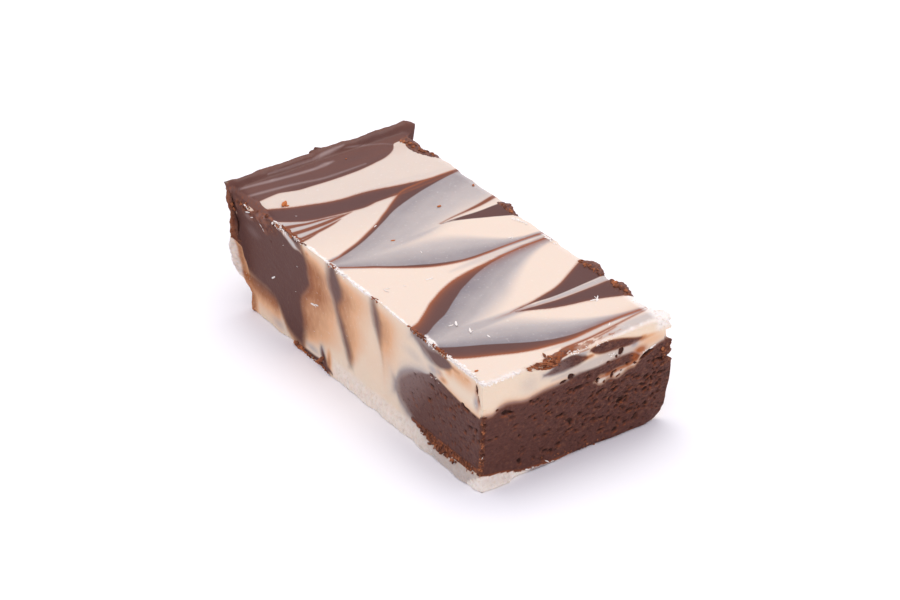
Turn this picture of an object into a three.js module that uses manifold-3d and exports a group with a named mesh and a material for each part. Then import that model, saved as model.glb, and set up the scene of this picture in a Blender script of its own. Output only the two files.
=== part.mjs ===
// A bar of marbled fudge, vanilla and chocolate folded together and set as one mass.
// It was cut from a slab by hand: the left side and the two ends are knife cuts, the right side is where
// the slab met its tray. The cuts left a foot along the base, a fin and lips at the corners, and pits.
// X runs across the bar, Y from the near end to the far end, Z up. Sizes are in millimetres.
import * as THREE from "three";
import { mergeVertices } from "three/addons/utils/BufferGeometryUtils.js";
import Module from "manifold-3d";

// The bar as a plain block.
const LENGTH = 90;
const WIDTH = 43;
const HEIGHT = 24;

// How the cuts lean: each end runs in under the top by this much at the base.
const NEAR_UNDERCUT = 1.2;
const FAR_UNDERCUT = 8;
const SIDE_HOLLOW = 0.3;

// The tray side: a round edge along its base, and a slight belly.
const TRAY_RADIUS = 4.5;
const TRAY_BELLY = 0.7;

// The ragged foot that the knife left standing out along the base of the left side.
const FOOT_HEIGHT = 3.4;
const FOOT_LEDGE = 0.9;
const FOOT_REACH = 1.8;
const FOOT_REACH_FAR = 1.0;
const FOOT_SHRINKS = { from: 18, to: 40 };
const FOOT_CORNER = { share: 0.5, run: 2.5 };

// The foot turns the near left corner as a thick lip, and runs on across the near end as a thin ledge.
const CORNER_LIP = { reach: 2.6, height: 1.9, full: 6.5, run: 9.5 };
const NEAR_LEDGE = { reach: 0.7, height: 1.2, full: 17, run: 22 };

// The fin that the far cut dragged out past the left side, widest below its middle.
const FIN_REACH = 2.9;
const FIN_REACH_TOP = 0.8;
const FIN_THICKNESS = 1.5;
const FIN_MIDDLE = 10;
const FIN_LOW = 3;

// The lip at the far right top corner, and the far edge, which curls up and out and holds one crumb.
const FAR_LIP = { reach: 2.8, depth: 4, middle: 0.7, run: 2.4 };
const FAR_CURL = { rise: 0.8, reach: 0.6, run: 2.2 };
const FAR_CRUMB = { middle: 21.9, run: 1.9, reach: 1.1 };

// The near right corner, pushed outwards by the knife.
const NEAR_FLARE = 1.9;
const NEAR_FLARE_RUN = 5;

// Worn and chipped top edges: how wide and how deep each is. The chip starts and is full at these distances
// from the far end.
const LEFT_CHIP = { run: 2.4, drop: 2.0, start: 19, full: 10 };
const LEFT_BURR = { run: 0.9, rise: 0.25 };
const NEAR_EDGE = { run: 1.3, drop: 0.9 };
const NEAR_CRUMBLE = { middle: 14.5, run: 6, drop: 0.7 };
const RIGHT_EDGE = { run: 1.6, drop: 0.8 };

// Rough rims along the right top edge, where chocolate broke and rolled over, and one place broken away.
const RIMS = [
  { middle: 38, run: 3.5, reach: 0.9, rise: 0.5 },
  { middle: 66, run: 4.5, reach: 1.2, rise: 0.5 },
  { middle: 76, run: 4.5, reach: 1.1, rise: 0.4 },
  { middle: 8.5, run: 5, reach: -0.4, rise: -0.4 },
];

// Unevenness of the faces: depth and wavelength.
const TOP_WAVES = { depth: 0.22, length: 31 };
const CUT_WAVES = { depth: 0.16, length: 9 };
const FOOT_WAVES = { depth: 0.35, length: 7 };
const RAGGED = { depth: 0.4, length: 4.2 };

// The larger holes torn in the near end. Places are from the bar's middle and base, tilt is in degrees.
const PIT_DEPTH = 0.9;
const PITS = [
  { x: -15.6, z: 15.3, width: 2.8, height: 1.1, tilt: -12 },
  { x: -0.4, z: 18.0, width: 1.8, height: 1.2, tilt: 8 },
  { x: 11.6, z: 19.6, width: 1.2, height: 2.0, tilt: -14 },
  { x: 6.2, z: 14.9, width: 0.9, height: 1.1, tilt: 0 },
  { x: 9.7, z: 15.0, width: 1.0, height: 1.2, tilt: 0 },
  { x: 17.4, z: 16.9, width: 3.4, height: 0.9, tilt: 32 },
  { x: 11.8, z: 8.1, width: 2.2, height: 1.2, tilt: 20 },
];

// The grid that the block is shaped on. It starts below the base, which is then cut flat.
const ACROSS_STEPS = 30;
const ALONG_STEPS = 60;
const UP_STEPS = 18;
const BASE_TRIM = 1.5;
const EDGE_CROWDING = 0.45;

const VANILLA_AND_CHOCOLATE = new THREE.MeshStandardMaterial({
  color: 0xb59b8e,
  roughness: 0.5,
  metalness: 0,
});

const { lerp, smoothstep, clamp, degToRad } = THREE.MathUtils;

// 1 on an edge, falling smoothly to 0 at the given distance from it.
function nearness(distance, run) {
  return 1 - smoothstep(distance, 0, run);
}

// Smooth noise from about -1 to 1, the same in every run: crossed waves whose periods differ.
function unevenness(a, b, wavelength) {
  const k = (2 * Math.PI) / wavelength;
  const slow = Math.sin(k * a + 1.3) * Math.cos(0.83 * k * b - 0.4);
  const quick = Math.sin(1.71 * k * b + 2.2 + 1.3 * Math.sin(0.6 * k * a));
  return (slow + quick) / 2;
}

// Evenly spaced shares from 0 to 1, crowded towards both ends, where the edges are.
function crowded(share) {
  const eased = (1 - Math.cos(Math.PI * share)) / 2;
  return lerp(share, eased, EDGE_CROWDING);
}

// The left side, a knife cut, for a point this far along and this high.
function leftSide(fromNear, fromFar, height) {
  const hollow = SIDE_HOLLOW * Math.sin((Math.PI * clamp(height, 0, HEIGHT)) / HEIGHT);
  const reach = lerp(FOOT_REACH_FAR, FOOT_REACH, smoothstep(fromFar, FOOT_SHRINKS.from, FOOT_SHRINKS.to));
  const ragged = FOOT_WAVES.depth * unevenness(fromNear, height, FOOT_WAVES.length);
  const rounded = 1 - FOOT_CORNER.share * nearness(fromNear, FOOT_CORNER.run);
  const foot = (reach + ragged) * rounded * (1 - smoothstep(height, FOOT_LEDGE, FOOT_HEIGHT));
  return -WIDTH / 2 + hollow - foot - fin(fromFar, height);
}

// How far the fin stands out of the left side.
function fin(fromFar, height) {
  const reach = lerp(FIN_REACH, FIN_REACH_TOP, smoothstep(height, FIN_MIDDLE, HEIGHT));
  const ragged = RAGGED.depth * unevenness(height, 0, RAGGED.length);
  const above = smoothstep(height, FIN_LOW, FIN_MIDDLE);
  return (reach + ragged) * above * nearness(fromFar, FIN_THICKNESS);
}

// How far the rims along the right top edge stand out, or how much they add to the height.
function rims(fromFar, amount) {
  return RIMS.reduce((sum, rim) => sum + rim[amount] * nearness(Math.abs(fromFar - rim.middle), rim.run), 0);
}

// The right side, shaped by the tray.
function rightSide(fromNear, fromFar, height) {
  const inRound = TRAY_RADIUS - clamp(height, 0, TRAY_RADIUS);
  const round = TRAY_RADIUS - Math.sqrt(TRAY_RADIUS ** 2 - inRound ** 2);
  const belly = TRAY_BELLY * Math.sin((Math.PI * clamp(height, 0, HEIGHT)) / HEIGHT);
  const flare = NEAR_FLARE * nearness(fromNear, NEAR_FLARE_RUN);
  const lip = FAR_LIP.reach * nearness(Math.abs(fromFar - FAR_LIP.middle), FAR_LIP.run);
  const ragged = RAGGED.depth * unevenness(fromNear, height, RAGGED.length);
  const atTop = (lip + ragged + rims(fromFar, "reach")) * nearness(HEIGHT - height, FAR_LIP.depth);
  return WIDTH / 2 - round + belly + flare + atTop;
}

// The near end, a knife cut that tore pits in the chocolate.
function nearEnd(fromLeft, height) {
  const lean = NEAR_UNDERCUT * (1 - height / HEIGHT);
  const waves = CUT_WAVES.depth * unevenness(fromLeft, height, CUT_WAVES.length);
  const standing = [CORNER_LIP, NEAR_LEDGE].map(({ reach, height: top, full, run }) => {
    return reach * nearness(height - top / 2, top / 2) * nearness(fromLeft - full, run - full);
  });
  return -LENGTH / 2 + lean + waves - Math.max(...standing);
}

// The far end, cut at a slant and ragged along its top.
function farEnd(fromLeft, height) {
  const lean = FAR_UNDERCUT * (1 - height / HEIGHT);
  const ragged = RAGGED.depth * unevenness(fromLeft, 0, 2 * RAGGED.length);
  const crumb = FAR_CRUMB.reach * nearness(Math.abs(fromLeft - FAR_CRUMB.middle), FAR_CRUMB.run);
  return LENGTH / 2 - lean + (FAR_CURL.reach + ragged + crumb) * nearness(HEIGHT - height, FAR_LIP.depth);
}

// The top, poured and left to set, with its four edges.
function topFace(fromLeft, fromRight, fromNear, fromFar) {
  const waves = TOP_WAVES.depth * unevenness(fromLeft, fromNear, TOP_WAVES.length);
  const chipped = 1 - smoothstep(fromFar, LEFT_CHIP.full, LEFT_CHIP.start);
  const uncurled = 1 - nearness(fromFar, FAR_CURL.run);
  const chip = LEFT_CHIP.drop * chipped * uncurled * nearness(fromLeft, LEFT_CHIP.run);
  const burr = LEFT_BURR.rise * (1 - chipped) * nearness(fromLeft, LEFT_BURR.run);
  const crumbled = NEAR_CRUMBLE.drop * nearness(Math.abs(fromLeft - NEAR_CRUMBLE.middle), NEAR_CRUMBLE.run);
  const nearEdge = (NEAR_EDGE.drop + crumbled) * nearness(fromNear, NEAR_EDGE.run);
  const worn = RIGHT_EDGE.drop * (1 - nearness(fromNear, 2 * NEAR_FLARE_RUN));
  const rightEdge = (worn - rims(fromFar, "rise")) * nearness(fromRight, RIGHT_EDGE.run);
  const curl = FAR_CURL.rise * nearness(fromFar, FAR_CURL.run);
  return HEIGHT + waves - chip + burr - nearEdge - rightEdge + curl;
}

// Moves each vertex of a gridded block to where it lies on the bar.
function shapedBlock() {
  const block = new THREE.BoxGeometry(1, 1, 1, ACROSS_STEPS, ALONG_STEPS, UP_STEPS);
  const point = new THREE.Vector3();
  const position = block.getAttribute("position");
  for (let i = 0; i < position.count; i++) {
    point.fromBufferAttribute(position, i).addScalar(0.5);
    const across = crowded(point.x);
    const along = crowded(point.y);
    const height = lerp(-BASE_TRIM, HEIGHT, crowded(point.z));
    const [fromLeft, fromRight] = [across * WIDTH, (1 - across) * WIDTH];
    const [fromNear, fromFar] = [along * LENGTH, (1 - along) * LENGTH];
    const x = lerp(leftSide(fromNear, fromFar, height), rightSide(fromNear, fromFar, height), across);
    const y = lerp(nearEnd(fromLeft, height), farEnd(fromLeft, height), along);
    const rise = topFace(fromLeft, fromRight, fromNear, fromFar) - HEIGHT;
    const z = height + rise * smoothstep(height, HEIGHT / 2, HEIGHT);
    position.setXYZ(i, x, y, z);
  }
  return block;
}

// A closed geometry as a solid that can be joined and cut.
const wasm = await Module();
wasm.setup();
function solidOf(geometry) {
  const bare = geometry.clone();
  bare.deleteAttribute("normal");
  bare.deleteAttribute("uv");
  const merged = mergeVertices(bare);
  return new wasm.Manifold(
    new wasm.Mesh({
      numProp: 3,
      vertProperties: merged.getAttribute("position").array,
      triVerts: new Uint32Array(merged.index.array),
    }),
  );
}

// A solid's surface as a geometry.
function geometryOf(solid) {
  const { vertProperties, triVerts } = solid.getMesh();
  const geometry = new THREE.BufferGeometry();
  geometry.setAttribute("position", new THREE.BufferAttribute(vertProperties, 3));
  geometry.setIndex(new THREE.BufferAttribute(triVerts, 1));
  geometry.computeVertexNormals();
  return geometry;
}

// Everything below the base, which the finished bar stands on.
function belowBase() {
  const room = 2 * LENGTH;
  return solidOf(new THREE.BoxGeometry(room, room, room).translate(0, 0, -room / 2));
}

// One hole torn in the near end: a flattened ball, sunk to its widest at the face.
function pit({ x, z, width, height, tilt }) {
  const ball = new THREE.SphereGeometry(1, 10, 7);
  ball.scale(width / 2, PIT_DEPTH, height / 2);
  ball.rotateY(degToRad(-tilt));
  return solidOf(ball.translate(x, nearEnd(x + WIDTH / 2, z), z));
}

// The finished bar, with the middle of its base at the origin.
function fudgeBar() {
  const cutters = [belowBase(), ...PITS.map(pit)];
  const solid = cutters.reduce((bar, cutter) => bar.subtract(cutter), solidOf(shapedBlock()));
  const geometry = geometryOf(solid);
  geometry.computeBoundingBox();
  const middle = geometry.boundingBox.getCenter(new THREE.Vector3());
  return geometry.translate(-middle.x, -middle.y, -geometry.boundingBox.min.z);
}

const bar = new THREE.Mesh(fudgeBar(), VANILLA_AND_CHOCOLATE);
bar.name = "fudge_bar";

const part = new THREE.Group();
part.add(bar);

export default part;
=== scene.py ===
import math
import random

import bmesh
import bpy
import numpy as np
from mathutils import Matrix, Vector, noise
from mathutils.bvhtree import BVHTree


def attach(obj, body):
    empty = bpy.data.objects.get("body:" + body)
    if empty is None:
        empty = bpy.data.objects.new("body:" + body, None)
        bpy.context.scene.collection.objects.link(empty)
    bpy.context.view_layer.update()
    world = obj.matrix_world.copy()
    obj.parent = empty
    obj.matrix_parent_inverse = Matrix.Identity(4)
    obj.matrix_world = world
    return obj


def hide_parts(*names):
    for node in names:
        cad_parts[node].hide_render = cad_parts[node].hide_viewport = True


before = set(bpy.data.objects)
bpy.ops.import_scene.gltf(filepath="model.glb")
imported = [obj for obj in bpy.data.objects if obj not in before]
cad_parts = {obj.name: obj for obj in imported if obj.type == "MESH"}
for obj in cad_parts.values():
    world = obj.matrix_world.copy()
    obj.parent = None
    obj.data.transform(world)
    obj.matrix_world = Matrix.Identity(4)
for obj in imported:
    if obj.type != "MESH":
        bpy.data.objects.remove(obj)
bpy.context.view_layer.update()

# The bar's mass: vanilla and chocolate fudge folded together, set in a tray as one slab and cut by hand.
# The surface is the solid's own, merged and made finer. The hidden far end, tray side and base stay coarser.
MM = 0.001
MERGE_WITHIN = 0.002 * MM
BLOCK_MIDDLE = np.array((0.75, -0.06, 0))
LEFT, RIGHT, NEAR, TOP = -21.5, 21.5, -45.0, 24.07

def show(name, data):
    """Puts a new object in the scene."""
    made = bpy.data.objects.new(name, data)
    bpy.context.scene.collection.objects.link(made)
    return made

bar_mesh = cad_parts["fudge_bar"].data.copy()
bar_mesh.name = "fudge_bar_surface"
bar = show("fudge_bar_surface", bar_mesh)

def split_edges(shape, faces):
    """Halves every edge of these faces."""
    edges = dict.fromkeys(edge for face in faces for edge in face.edges)
    bmesh.ops.subdivide_edges(shape, edges=list(edges), cuts=1, use_grid_fill=True)
    bmesh.ops.triangulate(shape, faces=[face for face in shape.faces if len(face.verts) > 3])
    shape.normal_update()

surface = bmesh.new()
surface.from_mesh(bar_mesh)
bmesh.ops.remove_doubles(surface, verts=surface.verts, dist=MERGE_WITHIN)
surface.normal_update()
split_edges(surface, [face for face in surface.faces if face.normal.z > -0.9 and face.normal.y < 0.8])
split_edges(surface, [face for face in surface.faces
                      if face.normal.z > 0.3 or face.normal.x < -0.3 or face.normal.y < -0.3])

# The lines of the marbling on the top: the slab was combed with a blade, which drew the chocolate out in long feathers.
# Each is given by knots of place across and place along, and the threads by half their width as well. Where the top
# sags, the lines shift by these shares of the sag.
LEAN_X, LEAN_Y = 0.92, 1.33
far_band_low = [(-26, 37), (-20, 37), (-17, 37.3), (-15, 37.4), (-13, 36.8), (-11, 36.2), (-8, 36), (0, 35.7),
                (4, 35.9), (8, 36.6), (11, 37.3), (13, 38.3), (14.2, 39.3), (14.9, 40.3), (15.3, 41), (16, 41.4),
                (18, 41.5), (20, 42.2), (26, 42.5)]
far_vein_low = [(-26, 30.5), (-21.5, 27.9), (-19, 26.3), (-17, 25.1), (-15, 24.4), (-12, 23.8), (-9, 23.3), (-6, 22.9),
                (-4, 22.7), (-2.5, 22.9), (-1, 23.2), (1, 23.3), (3, 23.3), (5, 23.2), (10, 23.4), (15, 23.9),
                (24, 24.7)]
far_vein_high = [(-26, 36), (-21, 33.6), (-19, 32.7), (-17, 31.7), (-15, 30.9), (-12, 29.9), (-10, 29.2), (-8, 28.7),
                 (-5, 28.2), (-2, 28.1), (0, 27.9), (3, 27.3), (6, 26.5), (9, 25.9), (12, 25.3), (15, 25), (24, 25)]
far_thread_lines = (
    [(-26, 26.2, 0.8), (-21, 25.1, 0.65), (-19, 24.6, 0.5), (-17, 24, 0.35), (-14, 23.6, 0.25), (-9, 22.9, 0.1)],
    [(-26, 22.2, 0.6), (-21, 22.3, 0.6), (-18, 22.1, 0.55), (-14, 22.1, 0.5), (-10, 22.5, 0.35), (-7, 22.8, 0.05)],
    [(-26, 19.8, 0.35), (-20, 19.9, 0.35), (-16, 20.4, 0.4), (-12.5, 21.1, 0.25), (-10.5, 21.7, 0.05)],
    [(-26, 18.6, 0.3), (-20, 19.2, 0.3), (-17, 19.9, 0.1)])
slant_low = [(-23, 8.8), (-20.5, 9.1), (-19, 9.3), (-17, 9.8), (-15, 10.5), (-13, 11.3), (-11, 12.2), (-9, 13.2),
             (-7, 14.3), (-5, 15.5), (-3, 16.6), (-1, 17.8), (1, 18.8), (3, 19.6), (5, 20.3), (10, 22), (15, 23.3),
             (24, 24.7)]
slant_high = [(-23, 8.9), (-20.5, 9.3), (-19, 9.7), (-17, 10.6), (-15, 11.4), (-13, 12.2), (-11, 13.2), (-9, 14.3),
              (-7, 15.4), (-5, 16.6), (-3, 18), (-1, 19.3), (1, 20.8), (3, 22.2), (5, 23.5), (10, 24.6), (24, 25)]
middle_high = [(-23, 7.8), (-20.5, 6.2), (-19, 5.2), (-17, 4), (-15, 2.8), (-13, 1.4), (-11, 0.1), (-9, -1), (-7, -2),
               (-5, -3), (-3, -3.8), (-1, -4.5), (1, -5), (3, -5.2), (6, -5.3), (10, -5.3), (24, -5.6)]
middle_low = [(-23, 7.4), (-20.5, 5.8), (-19, 4.8), (-17, 3.4), (-15, 2.1), (-13, 0.6), (-11, -0.8), (-9, -2.1),
              (-7, -3.2), (-5, -4.1), (-3, -4.8), (-1, -5.3), (1, -5.6), (3, -5.8), (6, -5.8), (10, -5.65), (24, -5.8)]
broad_low = [(-26, -26.8), (-21.8, -24.4), (-20, -23.6), (-18, -22.3), (-16, -21.2), (-14, -20.2), (-12, -18.8),
             (-10, -17.3), (-8, -15.9), (-6, -14.4), (-4, -13.2), (-2, -12.1), (0, -11.1), (2, -10.3), (4, -9.6),
             (6, -9.1), (8, -8.7), (12, -8.3), (24, -7.8)]
broad_high = [(-26, -23), (-21.5, -20.3), (-20, -19.7), (-18, -18.3), (-16, -16.8), (-14, -15.2), (-12, -14),
              (-10, -12.8), (-8, -11.8), (-6, -10.9), (-4, -10.2), (-2, -9.7), (0, -9.3), (2, -9), (5, -8.6),
              (8, -8.2), (12, -7.8), (24, -7.3)]
upper_wedge_low = [(24, -25.4), (19, -25.9), (15, -26.2), (11, -26.5), (7, -26.6), (3, -26.4), (0, -26.6), (-3, -26.8)]
upper_wedge_high = [(24, -16.5), (21, -17.8), (19, -19), (15, -21.3), (11, -23.5), (9, -24.3), (7, -24.8), (5, -25.3),
                    (3, -25.8), (0, -26.2), (-3, -26.6)]
lower_wedge_low = [(24, -35.8), (20, -34.5), (16, -33), (12, -31.8), (8, -30.9), (4, -29.7), (2, -28.8), (0, -28),
                   (-2, -27.4)]
lower_wedge_high = [(24, -27.5), (17, -27.9), (13, -28), (8, -28), (4, -27.7), (2, -27.5), (0, -27.3), (-2, -27.1)]
front_high = [(-26, -27), (-21.5, -29.3), (-20, -30.3), (-18, -31.4), (-16, -32.4), (-14, -33.4), (-12, -34.5),
              (-10, -35.6), (-8, -36.7), (-6, -37.7), (-4, -38.6), (-2, -39.3), (0, -39.8), (2, -40.1), (7, -40.15),
              (14, -40), (24, -40.2)]
front_low = [(-26, -31.5), (-21.5, -34.3), (-20, -35.2), (-18, -36.2), (-16, -37.1), (-14, -38), (-12, -38.9),
             (-10, -39.7), (-8, -40.3), (-6, -40.7), (-4, -41), (-2, -41.3), (0, -41.5), (2, -41.5), (4, -41.3),
             (7, -40.95), (14, -40.35), (24, -40.3)]
right_wedge_low = [(24, 0.8), (18, 3.8), (14, 5.7), (10, 7.5), (8, 8.2), (5, 8.7)]
right_wedge_high = [(24, 8.9), (18, 8.7), (14, 8.6), (10, 8.8), (5, 8.8)]
right_thread_line = [(5, 9, 0), (8, 9.5, 0.1), (12, 10, 0.25), (16, 10.6, 0.45), (20, 11.6, 0.55), (24, 12.8, 0.6)]
edge_thread_lines = (
    [(-2, -43.3, 0.2), (5, -43, 0.2), (8, -42.6, 0.2), (12, -42, 0.15), (16, -41.3, 0.1), (20, -40.8, 0.02)],
    [(5, -43.7, 0.1), (8, -43.3, 0.1), (11, -42.6, 0.05)])

# The surface is made finest where the knife tore the near end, by the crack at its top left corner, and along the
# thinnest lines on the top. The flat places are then smoothed.
def through(knots, along):
    """A smooth line through given knots: its height at each place along."""
    at, height = np.array(sorted(knots), float).T
    slope = np.gradient(height, at)
    i = np.clip(np.searchsorted(at, along) - 1, 0, len(at) - 2)
    span = at[i + 1] - at[i]
    t = np.clip((along - at[i]) / span, 0, 1)
    start = (1 + 2 * t) * (1 - t) ** 2 * height[i] + t * (1 - t) ** 2 * span * slope[i]
    end = t * t * (3 - 2 * t) * height[i + 1] + t * t * (t - 1) * span * slope[i + 1]
    return start + end

def between(low, high, along, across):
    """How deep inside the band between two lines, in millimetres; negative outside it and past its ends."""
    ends = np.minimum(along - max(min(low)[0], min(high)[0]), min(max(low)[0], max(high)[0]) - along)
    return np.min([across - through(low, along), through(high, along) - across, ends], axis=0)

def vein(knots, along, across):
    """The same for a vein, given as knots of place along, middle and half its width."""
    middle = through([knot[:2] for knot in knots], along)
    half = through([(knot[0], knot[2]) for knot in knots], along)
    ends = np.minimum(along - min(knots)[0], max(knots)[0] - along)
    return np.minimum(half - abs(across - middle), ends)

def most(*fields):
    """The greatest of several fields at each point."""
    return np.max(fields, axis=0)

NEARLY_FLAT = 1.06
faces = list(surface.faces)
fx, fy, fz = (np.array([face.calc_center_median() for face in faces]) / MM - BLOCK_MIDDLE).T
normal_x, normal_y, normal_z = np.array([face.normal for face in faces]).T
torn_end = (normal_y < -0.8) & ((fz < 18.5) | (abs(fx + 0.5) < 12.5))
by_crack = (normal_x < -0.5) & (abs(fy + 42) < 2.5) & (abs(fz - 20.3) < 3.3)
line_x, line_y = fx + LEAN_X * (fz - TOP), fy + LEAN_Y * (fz - TOP)
thin_line = most(
    between(slant_low, slant_high, line_x, line_y), between(middle_low, middle_high, line_x, line_y),
    *[vein(knots, line_x, line_y) for knots in (*far_thread_lines, right_thread_line)])
by_thin_line = (normal_z > 0.8) & (abs(thin_line) < 0.4)
split_edges(surface, [face for face, wanted in zip(faces, torn_end | by_crack | by_thin_line) if wanted])
smooth_places = [vert for vert in surface.verts if vert.calc_shell_factor() < NEARLY_FLAT]
for _ in range(3):
    bmesh.ops.smooth_vert(surface, verts=smooth_places, factor=0.5,
                          use_axis_x=True, use_axis_y=True, use_axis_z=True)
surface.to_mesh(bar_mesh)
surface.free()

# Where each point of the surface is, in millimetres from the middle of the plain block that was cut, and how
# much it looks towards each of the six sides. Nothing low down belongs to the top, whichever way it looks.
count = len(bar_mesh.vertices)
place = np.empty(count * 3)
bar_mesh.vertices.foreach_get("co", place)
place = place.reshape(-1, 3) / MM - BLOCK_MIDDLE
facing = np.empty(count * 3)
bar_mesh.vertex_normals.foreach_get("vector", facing)
facing = facing.reshape(-1, 3)
x, y, z = place.T.copy()

towards = np.stack([facing[:, 2], -facing[:, 0], -facing[:, 1], facing[:, 0], facing[:, 1], -facing[:, 2]], axis=1)
LOWEST_TOP, FURTHEST_END = 16, -30
towards[z < LOWEST_TOP, 0] = 0
towards[y > FURTHEST_END, 2] = 0
in_end_face = (y < NEAR + 3.5) & (z > 2.6) & (z < 22.4) & (x > LEFT + 0.8) & (x < RIGHT + 0.6)
towards[in_end_face] = (0, 0, 1, 0, 0, 0)
share = np.clip(towards, 0, None) ** 4 + 1e-9
share /= share.sum(axis=1, keepdims=True)
on_top, on_left, on_end = share[:, 0], share[:, 1], share[:, 2]

# The marbling on the top: each feather is a crisp dark line with a grey veil of thin chocolate trailing off on one
# side of it. The knife-drawn lines waver a little.
def ramp(value, low, high):
    """0 below low and 1 above high, eased between them."""
    t = np.clip((value - low) / (high - low), 0, 1)
    return t * t * (3 - 2 * t)

def grain(size, stretch=(1, 1, 1), seed=0, at=None):
    """Smooth noise from about -1 to 1 at each point, with lumps of this size in millimetres."""
    points = np.stack([x, y, z] if at is None else at, axis=1)
    scaled = points / (np.array(stretch) * size) + 37.7 * seed
    return np.array([noise.noise(point) for point in scaled.tolist()])

WAVER = 0.15
tx = x + LEAN_X * (z - TOP) + WAVER * grain(7, seed=2)
ty = y + LEAN_Y * (z - TOP) + WAVER * grain(9, seed=1)

far_band = ty - through(far_band_low, tx)
far_vein = between(far_vein_low, far_vein_high, tx, ty)
far_threads = [vein(knots, tx, ty) for knots in far_thread_lines]
slant_vein = between(slant_low, slant_high, tx, ty)
middle_vein = between(middle_low, middle_high, tx, ty)
broad_vein = between(broad_low, broad_high, tx, ty)
upper_wedge = between(upper_wedge_low, upper_wedge_high, tx, ty)
lower_wedge = between(lower_wedge_low, lower_wedge_high, tx, ty)
front_vein = between(front_low, front_high, tx, ty)
right_wedge = between(right_wedge_low, right_wedge_high, tx, ty)
right_thread = vein(right_thread_line, tx, ty)
edge_threads = [vein(knots, tx, ty) for knots in edge_thread_lines]
top_chocolate = most(far_band, far_vein, *far_threads, slant_vein, middle_vein, broad_vein, upper_wedge,
                     lower_wedge, front_vein, right_wedge, right_thread, *edge_threads)

def veil(dark, pale, strength, faint, fade=1.3):
    """A veil on the top from its dark side to its pale side, thinning from strength to faint and then gone."""
    edge, end = through(dark, tx), through(pale, tx)
    width = end - edge
    t = (ty - edge) / np.where(abs(width) < 0.3, np.copysign(0.3, width), width)
    inside = ramp(t * abs(width), -1.2, -0.5) * (1 - ramp(t, 0.65, fade))
    return inside * (strength + (faint - strength) * ramp(t, 0, 0.7))

flow = np.radians(np.where(ty > 8.5, 27, np.where(ty > -6.5, -27, np.where(ty > -27, 32, -27))))
with_flow = [x * np.cos(flow) + y * np.sin(flow), y * np.cos(flow) - x * np.sin(flow), z]
brushed = 0.03 * grain(0.8, (9, 1, 1), seed=30, at=with_flow) + 0.06 * grain(2.5, (5, 1, 1), seed=31, at=with_flow)
thin_veils = [strength * ramp(vein(knots, tx, ty), low, high) for strength, low, high, knots in (
    (0.62, -1, 1, [(-24, -26.8, 1), (-14, -27, 2), (-6, -27.2, 1.2), (2, -27, 0.5)]),
    (0.6, -1.2, 0.9, [(-23, 8.3, 0.8), (-10, 7.9, 1.5), (-3, 7.6, 1.2), (2, 7.9, 0.5), (5, 8.5, 0)]),
    (0.5, -0.6, 0.6, [(-26, 24, 5.5), (-17, 22.8, 3), (-9, 22.6, 0.3)]),
    (0.45, -0.7, 0.8, [(6, -44, 0.2), (9, -44, 1), (14, -43.4, 1.4), (24, -42.6, 1)]),
    (0.3, -0.4, 0.6, [(-6, -42, 0.2), (2, -42.2, 0.8), (10, -41.4, 0.6), (18, -40.9, 0.2)]),
    (0.28, -0.7, 0.8, [(-4, -7.5, 0.2), (5, -7, 1.2), (24, -6.6, 1)]),
    (0.25, -1.2, 0.6, [(-8, 27.5, 0.4), (4, 27.9, 1), (14, 26.6, 1), (20, 26, 0.6)]))]
top_veil = most(
    veil(slant_low, [(-23, 5.5), (-10, 4.5), (0, 6.6), (5, 8.7), (10, 10), (15, 10.8), (24, 11.8)], 0.82, 0.58),
    veil(middle_high, [(-23, 9), (-15, 8), (-10, 7), (-5, 6.2), (0, 5), (3, 3.6), (6, 1.8), (9, -0.5), (13, -3.4),
                       (24, -5)], 0.88, 0.6),
    veil(broad_low, [(-26, -28), (-18, -27.3), (-14, -26.4), (-10, -25), (-5, -22.8), (0, -20), (5, -16.2), (10, -12.8),
                     (15, -10.4), (24, -8.2)], 0.97, 0.72, 1.45),
    veil(front_high, [(-26, -26), (-18, -26.4), (-12, -27.6), (-8, -28.6), (-4, -30.2), (0, -32.8), (4, -35.2),
                      (8, -37.2), (12, -38.6), (24, -39.9)], 0.97, 0.64, 1.45),
    0.55 * ramp(between([(24, -28), (5, -27.9), (-3, -27.5)], [(24, -25.6), (5, -26.5), (-3, -26.5)], tx, ty), 0, 0.4),
    *thin_veils,
    0.2 * np.exp(-np.clip(far_band_low[2][1] - ty, 0, None) / 2), 0.2 * ramp(ty, 8, 26)) * (1 + brushed)

def fringe(edge, inward, width):
    """The orange-brown fringe inside a crisp edge; the chocolate lies above it if inward is 1, below if -1."""
    inside = inward * (ty - through(edge, tx)) + 0.1 * brushed
    return np.where(inside > 0, np.exp(-inside / width), np.exp(-(inside / 0.3) ** 2))

tips = np.exp(-((tx + 3) / 3.5) ** 2) * np.exp(-((ty + 26.9) / 0.35) ** 2)
past_tips = ramp(tx, -4, 0)
top_fringe = most(
    0.85 * fringe(slant_high, -1, 0.4), fringe(middle_low, 1, 0.35), fringe(broad_high, -1, 0.95),
    fringe(front_low, 1, 0.75), 0.7 * fringe(far_vein_high, -1, 0.4), 0.45 * fringe(far_vein_low, 1, 0.3),
    0.3 * fringe(far_band_low, 1, 0.3), 0.08 * ramp(ty, 36, 38) * (1 + 0.8 * grain(1.6, (5, 1, 1), seed=37)),
    0.7 * fringe(upper_wedge_high, -1, 0.3) * past_tips, 0.5 * fringe(lower_wedge_low, 1, 0.25) * past_tips,
    0.5 * fringe(lower_wedge_high, -1, 0.25) * past_tips, 0.5 * tips,
    0.6 * np.exp(-np.hypot((tx - 4) / 1.5, (ty - 23.3) / 0.6) ** 2),
    0.5 * ramp(right_thread, -0.4, 0), 0.5 * ramp(most(*far_threads), -0.4, 0.1),
    0.7 * ramp(most(*edge_threads), -0.5, 0))
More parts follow.
